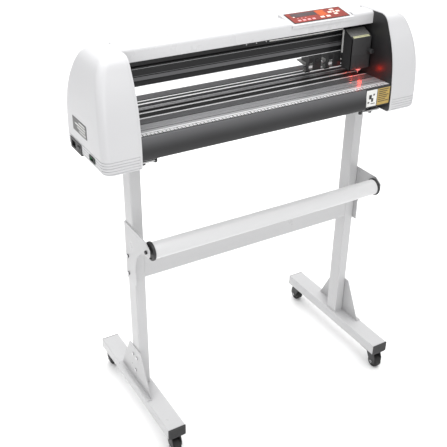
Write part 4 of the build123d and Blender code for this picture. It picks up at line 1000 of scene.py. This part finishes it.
# ------------------------------------------------------------------ stand
def flat_end_tube(name, node, along, radius=3.0 * MM):
    """A rectangular tube with rounded long edges and flat square ends."""
    lo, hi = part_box(node)
    bm = bmesh.new()
    made = bmesh.ops.create_cube(bm, size=1.0)["verts"]
    for v in made:
        v.co = Vector((lo[i] + (v.co[i] + 0.5) * (hi[i] - lo[i]) for i in range(3)))
    long_edges = [e for e in bm.edges if abs(e.verts[0].co[along] - e.verts[1].co[along]) > 1e-6]
    bmesh.ops.bevel(bm, geom=long_edges, offset=radius, segments=5, profile=0.5, affect="EDGES")
    tube = bm_object(name, bm, ENAMEL)
    return replace(tube, "white_enamel", node)


def plate_from_cad(name, node, material, slot):
    """A folded plate of the frame, with its edges slightly rounded."""
    bm = bmesh.new()
    bm.from_mesh(nodes[node].data)
    bmesh.ops.remove_doubles(bm, verts=bm.verts, dist=1e-5)
    bmesh.ops.dissolve_limit(bm, angle_limit=math.radians(1), verts=bm.verts, edges=bm.edges)
    sharp = [e for e in bm.edges if len(e.link_faces) == 2 and e.calc_face_angle(0) > math.radians(50)]
    bmesh.ops.bevel(bm, geom=sharp, offset=0.5 * MM, segments=2, profile=0.5, affect="EDGES",
                    clamp_overlap=True)
    return replace(bm_object(name, bm, material), slot, node)


def foot_end_caps():
    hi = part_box("foot_end_caps")[1]
    bar_lo, bar_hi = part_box("left_foot_bar")
    width = bar_hi.x - bar_lo.x
    bm = bmesh.new()
    for sx in (-1, 1):
        for sy in (-1, 1):
            x = sx * (-(bar_lo.x + bar_hi.x) / 2)
            y0, y1 = sorted((sy * bar_hi.y, sy * hi.y))
            put_box(bm, (x - width / 2, y0, bar_lo.z), (x + width / 2, y1, bar_hi.z), 1.4 * MM, 3)
            face = sy * hi.y
            a, b = sorted((face - sy * 1.0 * MM, face))
            for k in range(7):
                z = bar_lo.z + 4 * MM + k * 3.6 * MM
                put_box(bm, (x - width / 2 + 4 * MM, a, z), (x + width / 2 - 4 * MM, b, z + 1.6 * MM),
                        0.4 * MM, 1)
    replace(bm_object("foot_plugs", bm, BLACK_PLASTIC), "black_plastic", "foot_end_caps")


def casters():
    for end in ("front", "rear"):
        for word in ("left", "right"):
            key = end + "_" + word
            body = "wheel_" + key
            lo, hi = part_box("caster_wheel_" + key)
            c = (lo + hi) / 2
            r = (hi.z - lo.z) / 2
            half = 11 * MM
            bm = bmesh.new()
            tread = [(r - 6 * MM, -half + 2.0 * MM), (r - 4.5 * MM, -half),
                     (r - 2.2 * MM, -half + 0.4 * MM),
                     (r - 0.5 * MM, -half + 2.0 * MM), (r, -half + 4.5 * MM), (r, half - 4.5 * MM),
                     (r - 0.5 * MM, half - 2.0 * MM), (r - 2.2 * MM, half - 0.4 * MM), (r - 4.5 * MM, half),
                     (r - 6 * MM, half - 2.0 * MM)]
            put_lathe(bm, tread, c, (1, 0, 0), 64, 0)
            hub = [(3 * MM, -half + 1.5 * MM), (6.5 * MM, -half + 1.0 * MM), (7.0 * MM, -half + 2.5 * MM),
                   (r - 6 * MM, -half + 2.0 * MM), (r - 6 * MM, half - 2.0 * MM),
                   (7.0 * MM, half - 2.5 * MM),
                   (6.5 * MM, half - 1.0 * MM), (3 * MM, half - 1.5 * MM)]
            put_lathe(bm, hub, c, (1, 0, 0), 64, 1)
            put_lathe(bm, disc_profile(3 * MM, lo.x - c.x, hi.x - c.x, 0.3 * MM), c, (1, 0, 0), 24, 2)
            for s, edge in ((-1, lo.x - c.x), (1, hi.x - c.x)):
                a, b = sorted((edge, edge - s * 2 * MM))
                put_lathe(bm, disc_profile(5 * MM, a, b, 0.6 * MM), c, (1, 0, 0), 6, 2)
            tyre = bm_object("caster_tyre_" + key, bm, [RUBBER, BLACK_PLASTIC, STEEL], body)
            replace(tyre, "rubber", "caster_wheel_" + key)
            paint(BLACK_PLASTIC, "caster_fork_" + key)
    paint(BLACK_PLASTIC, "caster_stems")


def media_roller():
    lo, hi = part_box("media_roller")
    c = (lo + hi) / 2
    r = (hi.z - lo.z) / 2
    half = (hi.x - lo.x) / 2
    bm = bmesh.new()
    put_lathe(bm, [(r - 1.5 * MM, -half), (r - 0.3 * MM, -half), (r, -half + 0.4 * MM), (r, 0),
                   (r, half - 0.4 * MM),
                   (r - 0.3 * MM, half), (r - 1.5 * MM, half)], c, (1, 0, 0), 72)
    replace(bm_object("supply_tube", bm, ROLLER_WHITE, "supply_roller"), "roller_white", "media_roller")
    plug_lo, plug_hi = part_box("roller_end_plugs")
    flange = (plug_hi.z - plug_lo.z) / 2
    bm = bmesh.new()
    for s in (-1, 1):
        profile = [(0, -2 * MM), (r - 1.5 * MM, -2 * MM), (r - 1.5 * MM, 0), (flange - 1 * MM, 0),
                   (flange, 1 * MM),
                   (flange, 5.6 * MM), (flange - 1.2 * MM, 7 * MM), (flange - 5 * MM, 7 * MM),
                   (flange - 6 * MM, 5 * MM),
                   (9 * MM, 5 * MM), (8 * MM, 6.5 * MM), (5 * MM, 6.5 * MM),
                   (5 * MM, plug_hi.x - half - 0.6 * MM),
                   (4.4 * MM, plug_hi.x - half), (0, plug_hi.x - half)]
        put_lathe(bm, profile, (s * half, c.y, c.z), (s, 0, 0), 64)
    replace(bm_object("supply_plugs", bm, BLACK_PLASTIC, "supply_roller"), "black_plastic",
            "roller_end_plugs")


THUMB_SCREWS = ((344 * MM, -66 * MM), (312 * MM, -64 * MM))    # (x, y) on the right-hand mount
BRACKET_BOLT_Y = 9                # the roller brackets' bolts, in millimetres
BRACKET_BOLT_Z = 484
BRACKET_BOLT_PITCH = 54


def bolts():
    paint(STEEL, "stand_bolts")
    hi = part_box("top_mounts")[1]
    bm = bmesh.new()
    for s in (-1, 1):
        for x, y in THUMB_SCREWS:
            x *= s
            put_lathe(bm, [(0, 0), (4.5 * MM, 0), (5.2 * MM, 1 * MM), (5.2 * MM, 8 * MM),
                           (4.2 * MM, 9 * MM), (3 * MM, 9 * MM),
                           (3 * MM, 11 * MM), (0, 11 * MM)], (x, y, hi.z - 11 * MM), (0, 0, 1), 28)
    bm_object("thumb_screws", bm, BLACK_PLASTIC)
    # dark heads of the bracket bolts
    bm = bmesh.new()
    bolt_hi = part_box("stand_bolts")[1]
    for s in (-1, 1):
        for dz in (-BRACKET_BOLT_PITCH // 2, BRACKET_BOLT_PITCH // 2):
            put_lathe(bm, [(0, 0), (5.2 * MM, 0), (5.2 * MM, 1.6 * MM), (3.4 * MM, 3.1 * MM),
                           (1.8 * MM, 3.15 * MM),
                           (1.6 * MM, 1.6 * MM), (0, 1.6 * MM)],
                           (s * (bolt_hi.x - 3.2 * MM), BRACKET_BOLT_Y * MM, (BRACKET_BOLT_Z + dz) * MM),
                           (s, 0, 0), 32)
    bm_object("bracket_bolt_caps", bm, BLACK_PLASTIC)


def stand():
    flat_end_tube("foot_tube_left", "left_foot_bar", 1)
    flat_end_tube("foot_tube_right", "right_foot_bar", 1)
    flat_end_tube("column_tube_left", "left_column", 2)
    flat_end_tube("column_tube_right", "right_column", 2)
    flat_end_tube("cross_tube", "cross_beam", 0)
    plate_from_cad("gusset_plates", "foot_gussets", ENAMEL, "white_enamel")
    plate_from_cad("bracket_plates", "roller_brackets", ENAMEL, "white_enamel")
    plate_from_cad("mount_plates", "top_mounts", ENAMEL, "white_enamel")
    foot_end_caps()
    casters()
    media_roller()
    bolts()


# ------------------------------------------------------------------ electrics and hidden works
def electrics():
    paint(BLACK_PLASTIC, "power_inlet", "power_rocker", "feed_motor", "carriage_motor")
    paint(BOARD_GREEN, "control_board")
    paint(STEEL, "shaft_coupler", "drive_pulley", "idler_pulley")
    paint(KNURLED, "grit_roller")
    paint(BRONZE, "grit_bushes")
    paint(RUBBER, "drive_belt")
    paint(BLACK_SHEET, "base_tray")
    bm = bmesh.new()
    put_box(bm, (DATA_LO.x - 0.6 * MM, DATA_LO.y, DATA_LO.z), (DATA_HI.x, DATA_HI.y, DATA_HI.z), 0.8 * MM)
    port = bm_object("data_socket_shell", bm, BLACK_PLASTIC)
    mouth = ((DATA_LO.x - 3 * MM, DATA_LO.y + 5 * MM, DATA_LO.z + 3 * MM),
             (DATA_LO.x + 8 * MM, DATA_HI.y - 5 * MM, DATA_HI.z - 3 * MM))
    cut(port, [lambda b: put_box(b, mouth[0], mouth[1])])
    # rating plate on the left cap: a grey plate with plain blocks
    t_mid = (887 * MM - CAP_LO.z) / CAP_H
    face = -(CAP_LO.x + CAP_W * width_share(t_mid))
    bm = bmesh.new()
    put_box(bm, (face - 0.7 * MM, -25 * MM, 870 * MM), (face + 1.5 * MM, 60 * MM, 904 * MM), 0.3 * MM)
    bm_object("rating_plate", bm, LABEL_GREY)
    bm = bmesh.new()
    for k in range(4):
        put_box(bm, (face - 0.95 * MM, (-20 + 4 * (k % 2)) * MM, (875 + 7 * k) * MM),
                (face + 0.3 * MM, (20 + 12 * (k % 3)) * MM, (878 + 7 * k) * MM), 0.1 * MM)
    bm_object("rating_print", bm, LABEL_WHITE)


# ------------------------------------------------------------------ build everything
caps_and_plates()
top_cover()
control_panel()
beam()
platen()
rear_guide()
front_apron()
labels()
rail_and_cable()
carriage()
knob_and_tool()
pinch_unit("a")
pinch_unit("b")
stand()
electrics()


# ------------------------------------------------------------------ stage, light and camera
FLOOR_SIZE = 12
WORLD_STRENGTH = 0.62
POINTER_POWER = 0.03
CAMERA_PLACE = (-1.01205, -1.54715, 1.57423)
CAMERA_ANGLES = (31.009, 30.004, 0.793)     # yaw, pitch and roll in degrees
SENSOR_WIDTH = 36
LENS = 60.97


def stage_and_light():
    bm = bmesh.new()
    bmesh.ops.create_grid(bm, x_segments=8, y_segments=8, size=FLOOR_SIZE)
    floor = bm_object("floor", bm,
                      finish_material("floor_pale", (0.93, 0.93, 0.93), 0.7, tint=0.005, bump=0.0), None)
    world = bpy.data.worlds.new("studio")
    bpy.context.scene.world = world
    world.use_nodes = True
    world.node_tree.nodes["Background"].inputs["Color"].default_value = (1, 1, 1, 1)
    world.node_tree.nodes["Background"].inputs["Strength"].default_value = WORLD_STRENGTH

    def area(name, place, target, size, power):
        light = bpy.data.lights.new(name, "AREA")
        light.shape = "RECTANGLE"
        light.size, light.size_y = size
        light.energy = power
        obj = bpy.data.objects.new(name, light)
        bpy.context.scene.collection.objects.link(obj)
        obj.location = place
        obj.rotation_euler = (Vector(target) - Vector(place)).to_track_quat("-Z", "Y").to_euler()
        return obj
    area("key", (-0.2, -0.2, 3.6), (0, 0, 0.4), (5.0, 5.0), 165)
    rear = area("rear", (2.4, 4.4, 3.6), (2.4, 4.4, 0), (7.0, 6.0), 260)
    rear.visible_glossy = False
    area("corner", (-1.5, -3.5, 1.5), (0, 0, 0.8), (1.2, 2.4), 26)
    pointer = bpy.data.lights.new("pointer", "POINT")
    pointer.color = (1.0, 0.03, 0.005)
    pointer.energy = POINTER_POWER
    pointer.shadow_soft_size = 0.004
    spot = bpy.data.objects.new("pointer", pointer)
    bpy.context.scene.collection.objects.link(spot)
    laser_lo, laser_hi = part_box("laser_module")
    spot.location = ((laser_lo.x + laser_hi.x) / 2 + 7 * MM, -24 * MM, laser_lo.z - 4 * MM)


def camera():
    bpy.context.scene.view_settings.view_transform = "Standard"
    data = bpy.data.cameras.new("camera")
    data.sensor_width = SENSOR_WIDTH
    data.lens = LENS
    cam = bpy.data.objects.new("camera", data)
    bpy.context.scene.collection.objects.link(cam)
    yaw, pitch, roll = (math.radians(a) for a in CAMERA_ANGLES)
    ahead = Vector((math.sin(yaw) * math.cos(pitch), math.cos(yaw) * math.cos(pitch), -math.sin(pitch)))
    level = Vector((math.cos(yaw), -math.sin(yaw), 0))
    above = level.cross(ahead)
    right = math.cos(roll) * level + math.sin(roll) * above
    up = -math.sin(roll) * level + math.cos(roll) * above
    turn = Matrix((right, up, -ahead)).transposed().to_4x4()
    cam.matrix_world = Matrix.Translation(CAMERA_PLACE) @ turn
    bpy.context.scene.camera = cam


stage_and_light()
camera()
